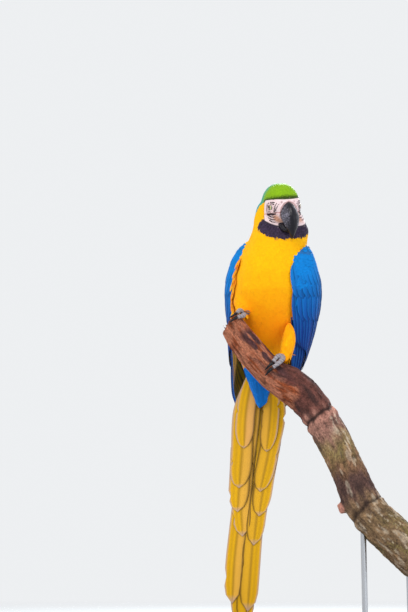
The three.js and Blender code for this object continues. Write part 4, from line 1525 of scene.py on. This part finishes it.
def tail_colours(feather, along, across, top):
    outer = across * feather["side"]
    tan = (0.85 if feather["layer"] > 5 else 0.4) * (feather["layer"] > -3)
    tan *= 1 if feather["side"] < 0 else 0.35
    edge = np.maximum(ramp(outer, 0.84, 0.93), ramp(along, 0.978, 0.992))
    # Painted shadow: dark lines down the shaft and inside the outer vane, and a dark inner edge.
    gold = overlaid(
        TAIL_GOLD,
        (TAIL_OLIVE, 0.35 * ramp(along, 0.1, 0.55)),
        (TAIL_TAN, tan * ramp(-outer, 0.04, 0.3)),
        (TAIL_SHADOW, 0.25 * ring(outer, 0.55, 0.12) + 0.8 * ramp(-outer, 0.7, 0.92)),
        (TAIL_DUSKY, 0.8 * edge),
        (TAIL_SHADOW, 0.5 * ring(across, 0, 0.05)))
    # Painted shadow: the gold is darker where the two columns meet in the middle.
    gold = gold * (1 - 0.6 * ramp(-outer, 0.78, 0.97))[:, None]
    blue = blend(BACK_BLUE, WING_DEEP, ramp(along, 0.2, 0.9))
    blue = blue * (1 - 0.5 * ring(across, 0, 0.07) - 0.35 * ramp(outer, -0.5, -0.95))[:, None]
    return np.where(top[:, None], blue, gold) * feather["tone"]


tail_list = [tail_feather(*row) for row in TAIL_FEATHERS]
tail = blades("tail_feathers", BLADE, tail_list, on_tail, tail_colours, FLIGHT_PLUMAGE,
              thickness=0.8)
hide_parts("tail")

# %% [markdown]
# ## Coverts under and over the tail
# Soft blue coverts taper from the vent over the roots of the tail, and others from the rump.
# They lie on the trunk's own outline, in rows, with two long ones in the middle at the front.

# %% Lay a covert on the trunk
FRONT_FLOOR = 446
REAR_FLOOR = 472


def reach_at(section, angle):
    return np.where(np.cos(angle) > 0, section[:, 3], section[:, 4])


def on_trunk(feather, along, across, height):
    """On the trunk's outline, which stops narrowing at a floor so that the rows stay apart."""
    level = feather["high"] + (feather["low"] - feather["high"]) * along
    section = TRUNK(np.maximum(level, FRONT_FLOOR if feather["angle"][0] < 100 else REAR_FLOOR))
    angle = np.radians(feather["angle"][0] * (1 - along) + feather["angle"][1] * along)
    girth = np.maximum((section[:, 2] + reach_at(section, angle)) / 2, 10)
    angle = angle + across / girth
    out = 1 - 0.06 * (1 - ramp(along, 0, 0.5))
    side = section[:, 2] * np.sin(angle) * out
    forward = reach_at(section, angle) * np.cos(angle) * out
    scale = 1 + (height + feather["lift"] * ramp(along, 0.2, 1)) / girth
    return beside(level, side * scale, forward * scale)


def covert_colours(feather, along, across, _):
    blue = np.broadcast_to(feather["colour"], (len(along), 3)) * feather["tone"]
    return blue * (0.8 + 0.3 * along - 0.25 * ring(across, 0, 0.08))[:, None]

# %% Rows of tail coverts
COVERT_ROWS = [
    # height of roots and tips, how many, spread to each side, turn of the middle one, half
    # breadth and lift; the turn is 0 under the tail and 180 over it
    (528, 470, 8, 75, 0, 11, 0.4), (505, 452, 7, 66, 0, 10, 0.2), (488, 430, 4, 34, 0, 10, 0),
    (486, 424, 2, 12, 0, 9.5, -0.4), (534, 468, 8, 78, 180, 11, 1.9),
    (506, 444, 7, 66, 180, 11, 1.2), (490, 424, 5, 50, 180, 11, 0.6),
]
tail_coverts = []
for high, low, number, spread, turn, half, lift in COVERT_ROWS:
    for k in range(number):
        angle = turn + spread * (2 * (k + 0.5) / number - 1)
        inward = turn + (0.55 if turn == 0 else 0.85) * (angle - turn)
        tail_coverts.append(dict(high=high + rng.uniform(-3, 3), low=low + rng.uniform(-4, 4),
                                 angle=(angle, inward), half=half, lift=lift, tip=0.35,
                                 colour=VENT_BLUE if turn == 0 else BACK_BLUE, splits=1,
                                 tone=rng.normal(1, 0.05)))
blades("tail_coverts", COVERT, tail_coverts, on_trunk, covert_colours, COVERT_PLUMAGE)

# %% Plumes behind the left thigh, dark as painted shade
def hanging(feather, along, across, height):
    """Straight down behind the thigh, facing the front."""
    start, end = np.array(feather["start"]), np.array(feather["end"])
    middle = start + (end - start) * along[:, None]
    return (middle + np.stack([across, -height, 0 * along], -1)) * MM


# Their dusky colour is painted shade for the gap between the thigh and the wing.
shadow_plumes = [dict(start=(-66 - 5 * k, 30 + 2 * k, 566), end=(-70 - 5 * k, 38 + 2 * k, 488 + k),
               half=8, tip=0.35, splits=1, tone=rng.normal(1, 0.06), colour=UNDER_DUSKY)
          for k in range(4)]
blades("plumes_thigh", COVERT, shadow_plumes, hanging, covert_colours, COVERT_PLUMAGE)

# %% [markdown]
# ## Loose tufts on the flanks and thighs
# Where the right wing presses on the breast, the long soft flank feathers slip out over the
# wing's edge and stand a little proud. The feathers of the thigh hang as a short skirt over
# the top of the foot. Both are loose, so they're longer and narrower than the breast's and
# lift more at the tip. The thigh's lie on a small cone of down round the leg, which stays
# under them.

# %% Flank tuft
def thinned(points, spacing):
    return spread_out(points, np.full(len(points), spacing))


root_height, _, _, root_angle, _ = on_body(roots)
at_edge = np.flatnonzero((wing < 0.5) & (root_height < 694) & (root_height > 588)
                         & (root_angle < -60) & (root_angle > -86))
at_edge = at_edge[thinned(roots[at_edge], 2.5)]
place, up = roots[at_edge], facing[at_edge]
count = len(place)
way = astray(lie_of_coat(place, up, np.zeros(count)), up, 0.16)
lengths = rng.uniform(17, 28, count)
flank_tuft = lay_tract("tuft_flank_right", SOFT_FEATHER, place, up, way, lengths,
                       lengths * 0.095, (0.3, rng.uniform(0.6, 1.1, count) * 5.2),
                       blend(FLANK, GOLD, rng.random(count)), unroll_body, SOFT_PLUMAGE, 0.05)

# %% Thigh skirts
THIGHS = {
    # the cone's middle line down the leg, in mm, with its radius at each place
    "left": through([[0, -77, -27, 572, 3], [0.3, -77, -34, 557, 8.5],
                     [0.65, -79, -32.5, 537, 12], [1, -84, -34, 514, 11]]),
    "right": through([[0, -170, -20, 620, 3], [0.3, -168, -24, 611, 8],
                      [0.65, -165, -29, 602, 8.5], [1, -162, -33, 591, 7]]),
}
CONE_RINGS = 10
for title, leg in THIGHS.items():
    down = bmesh.new()
    bmesh.ops.create_cone(down, cap_ends=True, segments=20, radius1=1, radius2=1, depth=1,
                          matrix=Matrix.Translation((0, 0, 0.5)))
    for k in range(1, CONE_RINGS):
        cut_across(down, (0, 0, k / CONE_RINGS), (0, 0, 1))
    for vert in down.verts:
        x, y, z, radius = leg(vert.co.z)
        vert.co = Vector((x + vert.co.x * radius, y + vert.co.y * radius, z)) * MM
    close_up(down)
    down.normal_update()
    thigh_tree = BVHTree.FromBMesh(down)
    cone = bmesh_object("down_thigh_" + title, down)
    places, up = throw_roots(cone.data, 1400)
    picked = thinned(places, 2.6)
    picked = picked[np.argsort(places[picked][:, 2])]
    place, up = places[picked], up[picked]
    count = len(place)
    run = leg(1.0)[:3] - leg(0.0)[:3]
    way = unit(flat_to(np.tile(run, (count, 1)), up) + np.array([0, 0, -0.3]))
    way = astray(way, up, 0.1)
    lengths = rng.uniform(17, 23, count)
    skirt = lay_tract("coat_thigh_" + title, SOFT_FEATHER, place, up, way, lengths,
                      lengths * 0.19, (ROOT_DEPTH, 0.9),
                      blend(GOLD, ORANGE, rng.uniform(0.3, 0.8, count)), unroll_body,
                      SOFT_PLUMAGE, 0.04, thigh_tree)
    paint(cone.data, "plumage", np.tile(ORANGE, (len(cone.data.vertices), 1)))
    skin_finish.cover(cone.data)
    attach(cone, "root")

# %% [markdown]
# ## The bill
# A macaw's bill is a horn sheath over bone: the upper half a deep hook with a blunt ridge
# down its middle and slightly pinched sides, the lower half a short scoop behind it. Each is
# lofted: a ring of points is extruded from section to section along the bill's middle line,
# and each new ring is set to that section's size. Wear near the edges is light and flaky.

# %% A loft through rings
UPPER_BILL = through([
    # share along, ahead and up of the middle line, half depth across it, half width
    [0, 27, -1, 16.8, 14.0], [0.2, 40, -3, 18.2, 15.6], [0.4, 50, -10.5, 15.9, 15.8],
    [0.6, 56, -22, 11.6, 12.4], [0.8, 58.5, -34, 7.0, 6.8], [0.93, 57.5, -42.5, 3.5, 3.1],
    [1, 56, -47.5, 0.9, 0.9],
])
LOWER_BILL = through([[0, 16, -22, 11, 15], [0.4, 30, -28.5, 10.6, 15],
                      [0.75, 40, -32, 8.2, 12.5], [1, 47, -32, 3.6, 8]])


def spot(vert):
    return tuple(round(c * 1e7) for c in vert.co)


def loft(name, section, rings, segments):
    """section(share, turn) gives the point at a share of the length and a turn in radians."""
    work = bmesh.new()
    turns = 2 * math.pi * np.arange(segments) / segments
    ring_of = bmesh.ops.create_circle(work, segments=segments, radius=1)["verts"]
    bmesh.ops.contextual_create(work, geom=ring_of)
    for k in range(rings + 1):
        if k:
            edges_of = [e for e in work.edges if e.verts[0] in ring_of and e.verts[1] in ring_of]
            grown = bmesh.ops.extrude_edge_only(work, edges=edges_of)["geom"]
            new = {spot(v): v for v in grown if isinstance(v, bmesh.types.BMVert)}
            ring_of = [new[spot(v)] for v in ring_of]
        for vert, place in zip(ring_of, section(k / rings, turns)):
            vert.co = place
    bmesh.ops.contextual_create(work, geom=ring_of)
    close_up(work)
    return bmesh_object(name, work)

# %% Sections of the bill
def bill_section(line, shape):
    def section(share, turns):
        ahead, up, deep, wide = line(share)
        before, after = line(max(share - 0.01, 0)), line(min(share + 0.01, 1))
        run = unit(after[:2] - before[:2])
        out, breadth = shape(share, turns)
        rise = deep * out
        return head_point(ahead - run[1] * rise, wide * breadth, up + run[0] * rise)
    return section


def upper_shape(share, turns):
    """A ridged roof above, straight flanks below, and the step of the cutting edge."""
    out, breadth = np.sin(turns), np.cos(turns)
    roof = 0.12 + 0.26 * ramp(share, 0.0, 0.3)
    peaked = (1 - roof) * breadth + roof * (1 - out) * np.sign(breadth)
    straight = np.sign(breadth) * np.abs(breadth) ** 0.6
    ridge = 0.05 * ring(turns, math.pi / 2, 0.2) * min(3 * share + 0.3, 1)
    under = np.where(out < 0, 0.9, 1.0)
    notch = 0.16 * ring(share, 0.60, 0.06) * (out < -0.4)
    growth = 0.010 * np.sin(80 * share + 2.0 * np.sin(3 * turns)) * ramp(share, 0.05, 0.3)
    return out * under + ridge + notch + growth, np.where(out > 0, peaked, straight) + growth


def lower_shape(share, turns):
    out, breadth = np.sin(turns), np.cos(turns)
    scoop = np.where(out > 0, 0.75, 1.0)
    growth = 0.012 * np.sin(40 * share + np.sin(4 * turns))
    return out * scoop + growth, breadth * (1 + growth)

# %% Horn, and both halves of the bill
def horn_finish(name, dark, grey, scuff):
    """Black horn: mostly smooth, with grey worn patches in flakes along its growth lines."""
    finish = Finish(name, Specular_IOR_Level=0.22)
    place = finish.place()
    flakes = finish.noise(place, 760, 5, 0.72, 0.5)
    cloudy = finish.noise(place, 60, 3)
    worn = finish.attribute("worn", out="Fac")
    share = (flakes * 0.8 + cloudy * 0.25 + worn * scuff).steps(0.74, 0.92)
    finish.feed("Base Color", finish.mix(share, dark, grey))
    finish.feed("Roughness", share * 0.3 + 0.28)
    finish.relief(flakes + cloudy, 0.0004, 0.5)
    return finish


HORN = horn_finish("horn_bill", srgb(24, 22, 30), srgb(146, 142, 158), 0.26)


def wear(piece, values):
    """How worn the horn is at each point, from 0 to 1, for its finish."""
    layer = piece.data.attributes.new("worn", "FLOAT", "POINT")
    layer.data.foreach_set("value", values)


for title, line, shape, rings in (("upper_bill", UPPER_BILL, upper_shape, 40),
                                  ("lower_bill", LOWER_BILL, lower_shape, 22)):
    bill = loft("bill_" + title.split("_")[0], bill_section(line, shape), rings, 32)
    _, side, up = on_head(vertex_points(bill.data))
    flank = ramp(up, -40, -20) * (1 - 0.9 * ring(side, 0, 5))
    wear(bill, flank if title == "upper_bill" else 0.75 * ramp(up, -40, -28))
    HORN.cover(bill.data)
    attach(bill, "root")
    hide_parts(title)
    print(bill.name, len(bill.data.polygons), "faces")

# %% [markdown]
# ## The eyes
# The eye is a ball with a clear bulge in front, a pale yellow iris with a fine grey rim, and
# a small black pupil. The ball is turned to look out to the side and a little forward. Iris
# and pupil are painted by the angle from its axis, and the clear coat gives the wet light.

# %% One painted eye
EYE_SHOWN = EYE_RADIUS - 0.45
PUPIL_EDGE = 20.5
IRIS_EDGE = 37
PUPIL_BLACK = (0.004, 0.004, 0.004)


def eye_ball(side_sign):
    """A ball with its colours painted by the angle from the way it looks, in degrees."""
    ahead, side, up = EYE_PLACE
    centre = Vector(head_point(ahead, side_sign * side, up))
    look = Vector(unit(head_point(ahead + 5, side_sign * 60, up + 1) - np.array(centre)))
    turn = look.to_track_quat("Z", "Y").to_matrix().to_4x4()
    work = bmesh.new()
    bmesh.ops.create_uvsphere(work, u_segments=48, v_segments=40, radius=EYE_SHOWN * MM)
    for vert in work.verts:
        polar = math.degrees(vert.co.angle(Vector((0, 0, 1))))
        vert.co *= 1 + 0.04 * math.exp(-((polar / 24) ** 2))
    bmesh.ops.transform(work, matrix=Matrix.Translation(centre) @ turn, verts=work.verts)
    piece = bmesh_object("eye_ball_" + ("left" if side_sign > 0 else "right"), work)
    points = vertex_points(piece.data)
    facing = unit(points - np.array(centre)) @ np.array(look)
    polar = np.degrees(np.arccos(np.clip(facing, -1, 1)))
    wobble = 0.6 * np.sin(9 * np.arctan2(points[:, 2] - centre.z, points[:, 1] - centre.y))
    iris = blend(srgb(170, 156, 88), srgb(206, 198, 142), ramp(polar + wobble, 20, 35))
    colour = overlaid(
        PUPIL_BLACK,
        (iris, ramp(polar, PUPIL_EDGE, PUPIL_EDGE + 2)),
        (srgb(110, 104, 84), ramp(polar, IRIS_EDGE, IRIS_EDGE + 4)),
        (srgb(66, 52, 48), ramp(polar, IRIS_EDGE + 6, IRIS_EDGE + 13)))
    paint(piece.data, "eye", colour)
    return piece

# %% Both eyes
EYE = Finish("eye_wet", Roughness=0.12, Coat_Weight=1.0, Coat_Roughness=0.02,
             Specular_IOR_Level=0.6)
threads = EYE.noise(EYE.place(), 1400, 3)
EYE.painted("eye", threads * 0.4 + 0.8)
for side_sign, title in ((1, "left"), (-1, "right")):
    eye = eye_ball(side_sign)
    EYE.cover(eye.data)
    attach(eye, "root")
    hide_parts("eye_" + title)
print("eyes set, radius", EYE_RADIUS, "mm")

# %% [markdown]
# ## Lines of tiny feathers on the bare face
# The white skin is crossed by rows of short black feathers, no larger than a grain of rice:
# arcs before, behind and round the eye, and more on the cheek. Each is a small feather that
# lies on the skin. Roots are placed along each row and dropped onto the face.

# %% Places of the rows
FACE_ROWS = [
    # first place, middle place and last place of a row, as ahead and up, and how many
    ((31, 13), (27, 3), (27, -6), 9), ((27.5, 15), (23.5, 8), (23.5, -7), 10),
    ((3, 12), (0.5, 2), (4, -7), 9), ((7, 14), (4.5, 3), (9, -8), 10),
    ((9, -6), (17, -9), (26, -5.5), 12), ((5, -9.5), (15, -13), (25, -10), 12),
    ((5, -14), (14, -18), (22, -16), 10), ((7, -19), (13, -22.5), (20, -21), 8),
    ((12, 14.5), (17, 15.5), (23, 15), 8),
    ((3, -8.6), (14, -8.2), (26, -4.6), 22), ((3, -9.4), (14, -9.0), (26, -5.2), 22),
    ((12, -3.5), (17.5, -7.5), (23.5, -3), 8), ((10.5, 8), (9.5, 3), (12, -3), 7),
    ((24, 9.5), (27, 4), (24.5, -2), 7), ((12, 11), (17, 13.8), (22.5, 11.5), 7),
]
ROW_BLACK = srgb(48, 34, 40)

# %% Lay the rows
row_roots, row_normals, row_ways = [], [], []
for start, middle, end, number in FACE_ROWS:
    for sign in (-1, 1):
        for k in range(number):
            t = (k + rng.uniform(0.3, 0.7)) / number
            place = [(1 - t) ** 2 * a + 2 * t * (1 - t) * b + t**2 * c
                     for a, b, c in zip(start, middle, end)]
            begin = Vector(head_point(place[0] + 12, sign * 45, place[1]))
            toward = Vector(head_point(place[0] - 3, 0, place[1])) - begin
            hit, normal, _, _ = skin_tree.ray_cast(begin, toward.normalized())
            if hit is None:
                continue
            row_roots.append(hit)
            row_normals.append(normal)
            row_ways.append(Vector(head_point(-30, sign * 20, -30)) - hit)
row_roots, row_normals = np.array(row_roots), np.array(row_normals)
row_ways = unit(flat_to(np.array(row_ways), row_normals))
count = len(row_roots)
face_rows = lay_tract(
    "coat_face_rows", SMALL_FEATHER, row_roots, row_normals, row_ways,
    rng.uniform(2.4, 3.4, count), rng.uniform(0.5, 0.75, count), (0.05, 0.45),
    np.tile(ROW_BLACK, (count, 1)), unroll_head, SOFT_PLUMAGE, 0.0)

# %% [markdown]
# ## The perch
# The branch is old wood with most of its bark gone at the broken upper end, rough bark below,
# a ring crease where it once forked, the stump of a side shoot, and a sawn lower end. Its
# solid is remeshed finely, and each point is moved along its normal by furrows that run with
# the grain. The distance along the branch and the turn round it are kept at each point for
# the finish.

# %% The branch's middle line
BRANCH = np.array([[-184, -38, 570], [-157, -38, 531.5], [-129, -38, 498], [-101, -38, 471],
                   [-77.5, -38, 458.5], [-52, -38, 438], [-30.5, -40, 410.5], [8, -44, 340],
                   [26, -48, 297.5], [46, -52, 247], [69.5, -56, 218], [103, -60, 186.5],
                   [146, -66, 145]])
steps = np.r_[0, np.cumsum(np.linalg.norm(np.diff(BRANCH, axis=0), axis=1))]
BRANCH_LENGTH = steps[-1]
fine_along = np.linspace(0, BRANCH_LENGTH, 400)
fine_line = through(np.c_[steps, BRANCH])(fine_along)
BRANCH_RADIUS = through([[0, 22.5], [0.09, 27], [0.17, 27.3], [0.24, 29], [0.29, 34], [0.35, 32],
                         [0.41, 29.6], [0.49, 31], [0.56, 29.6], [0.64, 30.3], [0.74, 33.6],
                         [0.89, 35.6], [1, 36.5]])


def on_branch(points):
    """Share along the branch, the turn round it (0 on top, 90 in front) and reach in mm."""
    tree = points_tree(fine_line)
    nearest = np.array([tree.find(p)[1] for p in points / MM])
    run = unit(np.gradient(fine_line, axis=0))[nearest]
    off = points / MM - fine_line[nearest]
    along = fine_along[nearest] + (off * run).sum(1)
    upward = unit(flat_to(np.tile([0.0, 0, 1], (len(points), 1)), run))
    front = np.cross(upward, run)
    front *= -np.sign(front[:, 1:2])
    turn = np.arctan2((off * front).sum(1), (off * upward).sum(1))
    return along / BRANCH_LENGTH, turn, np.linalg.norm(flat_to(off, run), axis=1)


def grain_noise(share, turn, along_scale, round_scale, seed):
    """Noise that is stretched along the branch and closes round it."""
    return np.array([
        noise.noise(Vector((s * along_scale + seed, math.cos(t) * round_scale,
                            math.sin(t) * round_scale + 3 * seed)))
        for s, t in zip(share, turn)])

# %% Torn shards at the broken end
SHARDS = 15
SHARD_SUNK = 6


def branch_with_shards():
    """The solid with a ring of torn shards added round its broken upper end."""
    work = merged_copy(["perch_branch"], 0.0)
    run = unit(fine_line[8] - fine_line[0])
    across = unit(np.cross(run, (0, 1, 0)))
    front = np.cross(across, run)
    for k in range(SHARDS):
        turn = 2 * math.pi * k / SHARDS + rng.uniform(-0.15, 0.15)
        outward = across * math.cos(turn) + front * math.sin(turn)
        place = fine_line[0] + run * SHARD_SUNK + outward * rng.uniform(11, 18)
        length = rng.uniform(12, 22)
        turned = Vector(0.16 * outward - run).to_track_quat("Z", "Y").to_matrix().to_4x4()
        matrix = (Matrix.Translation(Vector(place) * MM) @ turned
                  @ Matrix.Diagonal((1.0, rng.uniform(0.5, 0.8), 1, 1)))
        bmesh.ops.create_cone(work, cap_ends=True, segments=7, radius1=rng.uniform(4, 6) * MM,
                              radius2=0.7 * MM, depth=length * MM, matrix=matrix)
    return work

# %% Furrows, ridges and creases
BRANCH_VOXEL = 0.0017
TORN_RING = 0.425
LOWER_RING = 0.755
RINGS_ROUND = [
    # share along, height in mm and width of each ridge or crease that runs round the branch
    (TORN_RING, -2.4, 0.005), (0.443, 1.7, 0.009), (0.406, 1.1, 0.008), (0.345, -0.9, 0.005),
    (0.462, -0.8, 0.004), (0.60, -0.9, 0.006), (LOWER_RING, -1.8, 0.006), (0.768, 1.0, 0.008),
    (0.80, -0.9, 0.005),
]
branch_mesh = remeshed("branch", branch_with_shards(), BRANCH_VOXEL)
points, edges, normals = relaxed(branch_mesh, 5)
share, turn, reach = on_branch(points)


def streaks(along_scale, round_scale, seed):
    return grain_noise(share, turn, along_scale, round_scale, seed)


wavy = share + 0.008 * np.sin(turn + 1) + 0.012 * streaks(9, 2, 14)
torn = streaks(7, 1.6, 2)
wood = 1 - ramp(share + 0.05 * torn - 0.09 * np.cos(turn - 3.0), 0.25, 0.29)
furrow = streaks(16, 7, 1)
deep = streaks(26, 3, 4)
crack = -ring(streaks(9, 5, 9), 0, 0.06)
hair = streaks(70, 22, 5)
bark = streaks(42, 9, 6) + 0.7 * streaks(95, 17, 8)
lift = wood * (0.65 * furrow + 0.5 * deep + 0.9 * crack + 0.35 * hair)
lift += (1 - wood) * ((0.7 + 0.6 * ramp(share, 0.4, 0.6)) * bark + 0.5 * furrow + 0.5)
for at, size, width in RINGS_ROUND:
    lift += size * ring(wavy, at, width)
lift -= 0.5
raised(branch_mesh, points, normals, lift)
print("branch has", len(branch_mesh.polygons), "faces")

# %% Colours of wood and bark
TERRACOTTA = srgb(206, 130, 98)
RUST = srgb(158, 78, 42)
PLUM_GREY = srgb(80, 52, 58)
DARK_PATCH = srgb(48, 34, 34)
PALE_PATCH = srgb(206, 190, 168)
LICHEN = srgb(128, 122, 60)
KNOT_PINK = srgb(204, 142, 124)
SAWN_PALE = srgb(206, 164, 118)
SAWN_DARK = srgb(164, 116, 76)
KNOT_AT = (0.72, math.radians(165))
BARK_ZONES = through([[at, *srgb(*colour)] for at, *colour in (
    (0.0, 112, 68, 58), (0.40, 104, 64, 56), (0.44, 158, 112, 98), (0.49, 152, 112, 96),
    (0.53, 146, 120, 84), (0.60, 134, 100, 74), (0.65, 92, 66, 58), (0.70, 98, 72, 62),
    (0.76, 124, 98, 72), (1.0, 116, 92, 68))])

# %% Paint the branch
patches = streaks(11, 2.2, 21)
blotch = streaks(22, 3.4, 25)
fleck = streaks(130, 17, 33)
spots = streaks(34, 6, 31)
stripped = ring(np.cos(turn - 0.75), 1, 0.55) * ramp(share, 0.03, 0.07)
plum = ramp(patches + 0.6 * deep + 0.35 * stripped, 0.14, 0.24) * stripped
wood_colour = overlaid(TERRACOTTA, (RUST, ramp(blotch + 0.5 * furrow, -0.15, 0.4)),
                       (PLUM_GREY, 0.95 * plum))
wood_colour = wood_colour * (0.88 + 0.55 * fleck + 0.2 * hair)[:, None]
bark_colour = BARK_ZONES(share + 0.03 * torn + 0.04 * blotch)
bark_colour = bark_colour * (1 + 0.75 * fleck + 0.5 * blotch)[:, None]
mossy = np.clip(ring(share, 0.56, 0.05) + ramp(share, 0.76, 0.86), 0, 1)
dark = patches + 0.4 * fleck + 0.45 * ring(share, 0.465, 0.016) * ring(turn, 0.8, 0.7)
pale = 0.7 * ramp(share, 0.74, 0.8) * ramp(spots + 0.5 * fleck, 0.34, 0.5)
pale = np.maximum(pale, ring(share + 0.1 * spots, 0.515, 0.025) * ring(turn, 0.9, 0.5)
                  * ramp(blotch + 0.5 * fleck, -0.2, 0.1))
pale = np.maximum(pale, 0.5 * ramp(share, 0.5, 0.55) * ramp(-patches + 0.7 * spots, 0.26, 0.5))
knot = ring(share, KNOT_AT[0], 0.035) * ring(np.abs(turn), KNOT_AT[1], 0.5)
knot *= ramp(reach - BRANCH_RADIUS(share)[:, 0], 1.5, 4)
# Painted shade: the two ring creases are darkened, and so are the cracks in the bare wood.
crease_shade = 0.8 * ring(wavy, TORN_RING, 0.005) + 0.5 * ring(wavy, LOWER_RING, 0.005)
sawn = ramp(normals @ unit(fine_line[-1] - fine_line[-8]), 0.6, 0.8) * ramp(share, 0.97, 0.99)
year_rings = 0.5 + 0.5 * np.sin(2.1 * reach + 2.5 * streaks(3, 1.5, 40))
branch_colour = overlaid(
    bark_colour,
    (LICHEN, 0.45 * mossy * ramp(patches + 0.5 * fleck, 0.0, 0.3)),
    (DARK_PATCH, 0.7 * ramp(dark, 0.24, 0.42)),
    (PALE_PATCH, 0.75 * pale),
    (wood_colour, wood),
    (KNOT_PINK, knot),
    (DARK_PATCH, crease_shade - 0.5 * wood * crack),
    (blend(SAWN_PALE, SAWN_DARK, year_rings), 0.95 * sawn))
# Painted light and shade: the colour is lighter on the raised bark and darker in its hollows.
branch_colour *= (1 + 0.28 * np.clip(lift, -1.2, 1.0))[:, None]
paint(branch_mesh, "bark", np.clip(branch_colour, 0, 1))
grain = np.stack([share * BRANCH_LENGTH * MM, np.cos(turn) * 0.03, np.sin(turn) * 0.03], -1)
layer = branch_mesh.attributes.new("grain", "FLOAT_VECTOR", "POINT")
layer.data.foreach_set("vector", grain.ravel())

# %% The branch's finish
branch = placed("branch", branch_mesh)
BARK = Finish("branch_bark", Roughness=0.85, Specular_IOR_Level=0.25)
grain_way = BARK.scaled(BARK.attribute("grain", "Vector"), (0.22, 1, 1))
fibres = BARK.noise(grain_way, 700, 6, 0.65)
crumbs = BARK.noise(BARK.place(), 380, 5, 0.6)
BARK.painted("bark", fibres * 1.1 + crumbs * 1.4 - 0.35)
BARK.relief(fibres + crumbs * 0.8, 0.0020, 0.9)
BARK.cover(branch_mesh)
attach(branch, "root")
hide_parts("perch_branch")

# %% [markdown]
# ## Feet and claws
# The feet are bare: grey scaly skin with cross bands on the top of each toe and small round
# scales elsewhere. Two toes grip from the front and two from behind. Copies of the solids are
# remeshed and relaxed, and the cross bands are pressed in by the turn round the branch, which
# is the direction that the toes run in.

# %% Feet
SCALE_GREY = srgb(158, 152, 158)
SCALE_DARK = srgb(84, 78, 86)
FOOT_SWOLLEN = 0.0003
FOOT_VOXEL = 0.0009
SCALES = Finish("scaly_skin", Roughness=0.55, Specular_IOR_Level=0.4)
pebbles = SCALES.cells(850)
SCALES.painted("scales", 1.12 - pebbles * 0.4)
SCALES.relief(1 - pebbles, 0.0005, 0.6)
for title in ("left", "right"):
    solid = merged_copy(["foot_" + title], FOOT_SWOLLEN)
    foot_mesh = remeshed("scaly_foot_" + title, solid, FOOT_VOXEL)
    points, edges, normals = relaxed(foot_mesh, 5)
    share, turn, reach = on_branch(points)
    out = reach - BRANCH_RADIUS(share)[:, 0]
    on_toe = 1 - ramp(out, 11, 15)
    bands = np.abs(np.sin(turn * 17 + 1.2 * np.sin(share * 90)))
    wrinkle = cloud(points, 420, 3)
    lift = (0.55 * bands**0.6 - 0.3) * on_toe * ramp(out, 2, 5) + 0.28 * wrinkle
    raised(foot_mesh, points, normals, lift)
    tone = ramp(1 - bands * on_toe - 0.2 * wrinkle, 0.35, 0.95)
    paint(foot_mesh, "scales", blend(SCALE_GREY, SCALE_DARK, 0.75 * tone))
    foot = placed("scaly_foot_" + title, foot_mesh)
    SCALES.cover(foot_mesh)
    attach(foot, "root")
    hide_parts("foot_" + title)
    print(foot.name, len(foot_mesh.polygons), "faces")

# %% Claws
CLAW_SWOLLEN = 0.0005
CLAW_HORN = horn_finish("horn_claw", srgb(24, 23, 27), srgb(92, 88, 94), 0.2)
for title in ("left", "right"):
    for toe in "1234":
        node = f"claw_{title}_{toe}"
        claw = bmesh_object(f"horn_{node}", merged_copy([node], CLAW_SWOLLEN))
        rounding = claw.modifiers.new("rounding", "SUBSURF")
        rounding.levels = 2
        rounding.render_levels = 2
        wear(claw, np.zeros(len(claw.data.vertices)))
        CLAW_HORN.cover(claw.data)
        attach(claw, "root")
        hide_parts(node)
print("eight claws")

# %% [markdown]
# ## The display stand
# The stand is plain so that it doesn't compete with the bird: a low base of dark stained
# wood with a satin varnish, and two brushed steel rods. Their solids already have the right
# shape, so they stay, and only get their finishes.

# %% Stand finishes
STAIN = Finish("stand_stained_wood", Coat_Weight=0.35, Coat_Roughness=0.3,
               Specular_IOR_Level=0.4)
rings_of = STAIN.noise(STAIN.scaled(STAIN.place(), (0.16, 1, 1)), 60, 6, 0.6, 1.4)
pores_of = STAIN.noise(STAIN.scaled(STAIN.place(), (0.06, 1, 1)), 900, 3)
STAIN.feed("Base Color", STAIN.add(
    "ShaderNodeValToRGB",
    {"stops": [(0.3, srgb(58, 38, 28)), (0.55, srgb(92, 62, 44)), (0.8, srgb(66, 44, 32))]},
    {"Fac": rings_of}))
STAIN.feed("Roughness", rings_of * 0.2 + pores_of * 0.15 + 0.3)
STAIN.relief(rings_of + pores_of, 0.0004, 0.4)
STEEL = Finish("stand_brushed_steel", Base_Color=(*srgb(186, 188, 192), 1), Metallic=1.0)
brushing = STEEL.noise(STEEL.scaled(STEEL.place(), (1, 1, 60)), 120, 3)
STEEL.feed("Roughness", brushing * 0.25 + 0.2)
STEEL.relief(brushing, 0.00005, 0.4)
for node, finish in (("stand_base", STAIN), ("stand_rod_1", STEEL), ("stand_rod_2", STEEL)):
    NODES[node].data.materials.clear()
    finish.cover(NODES[node].data)
print("stand finished")
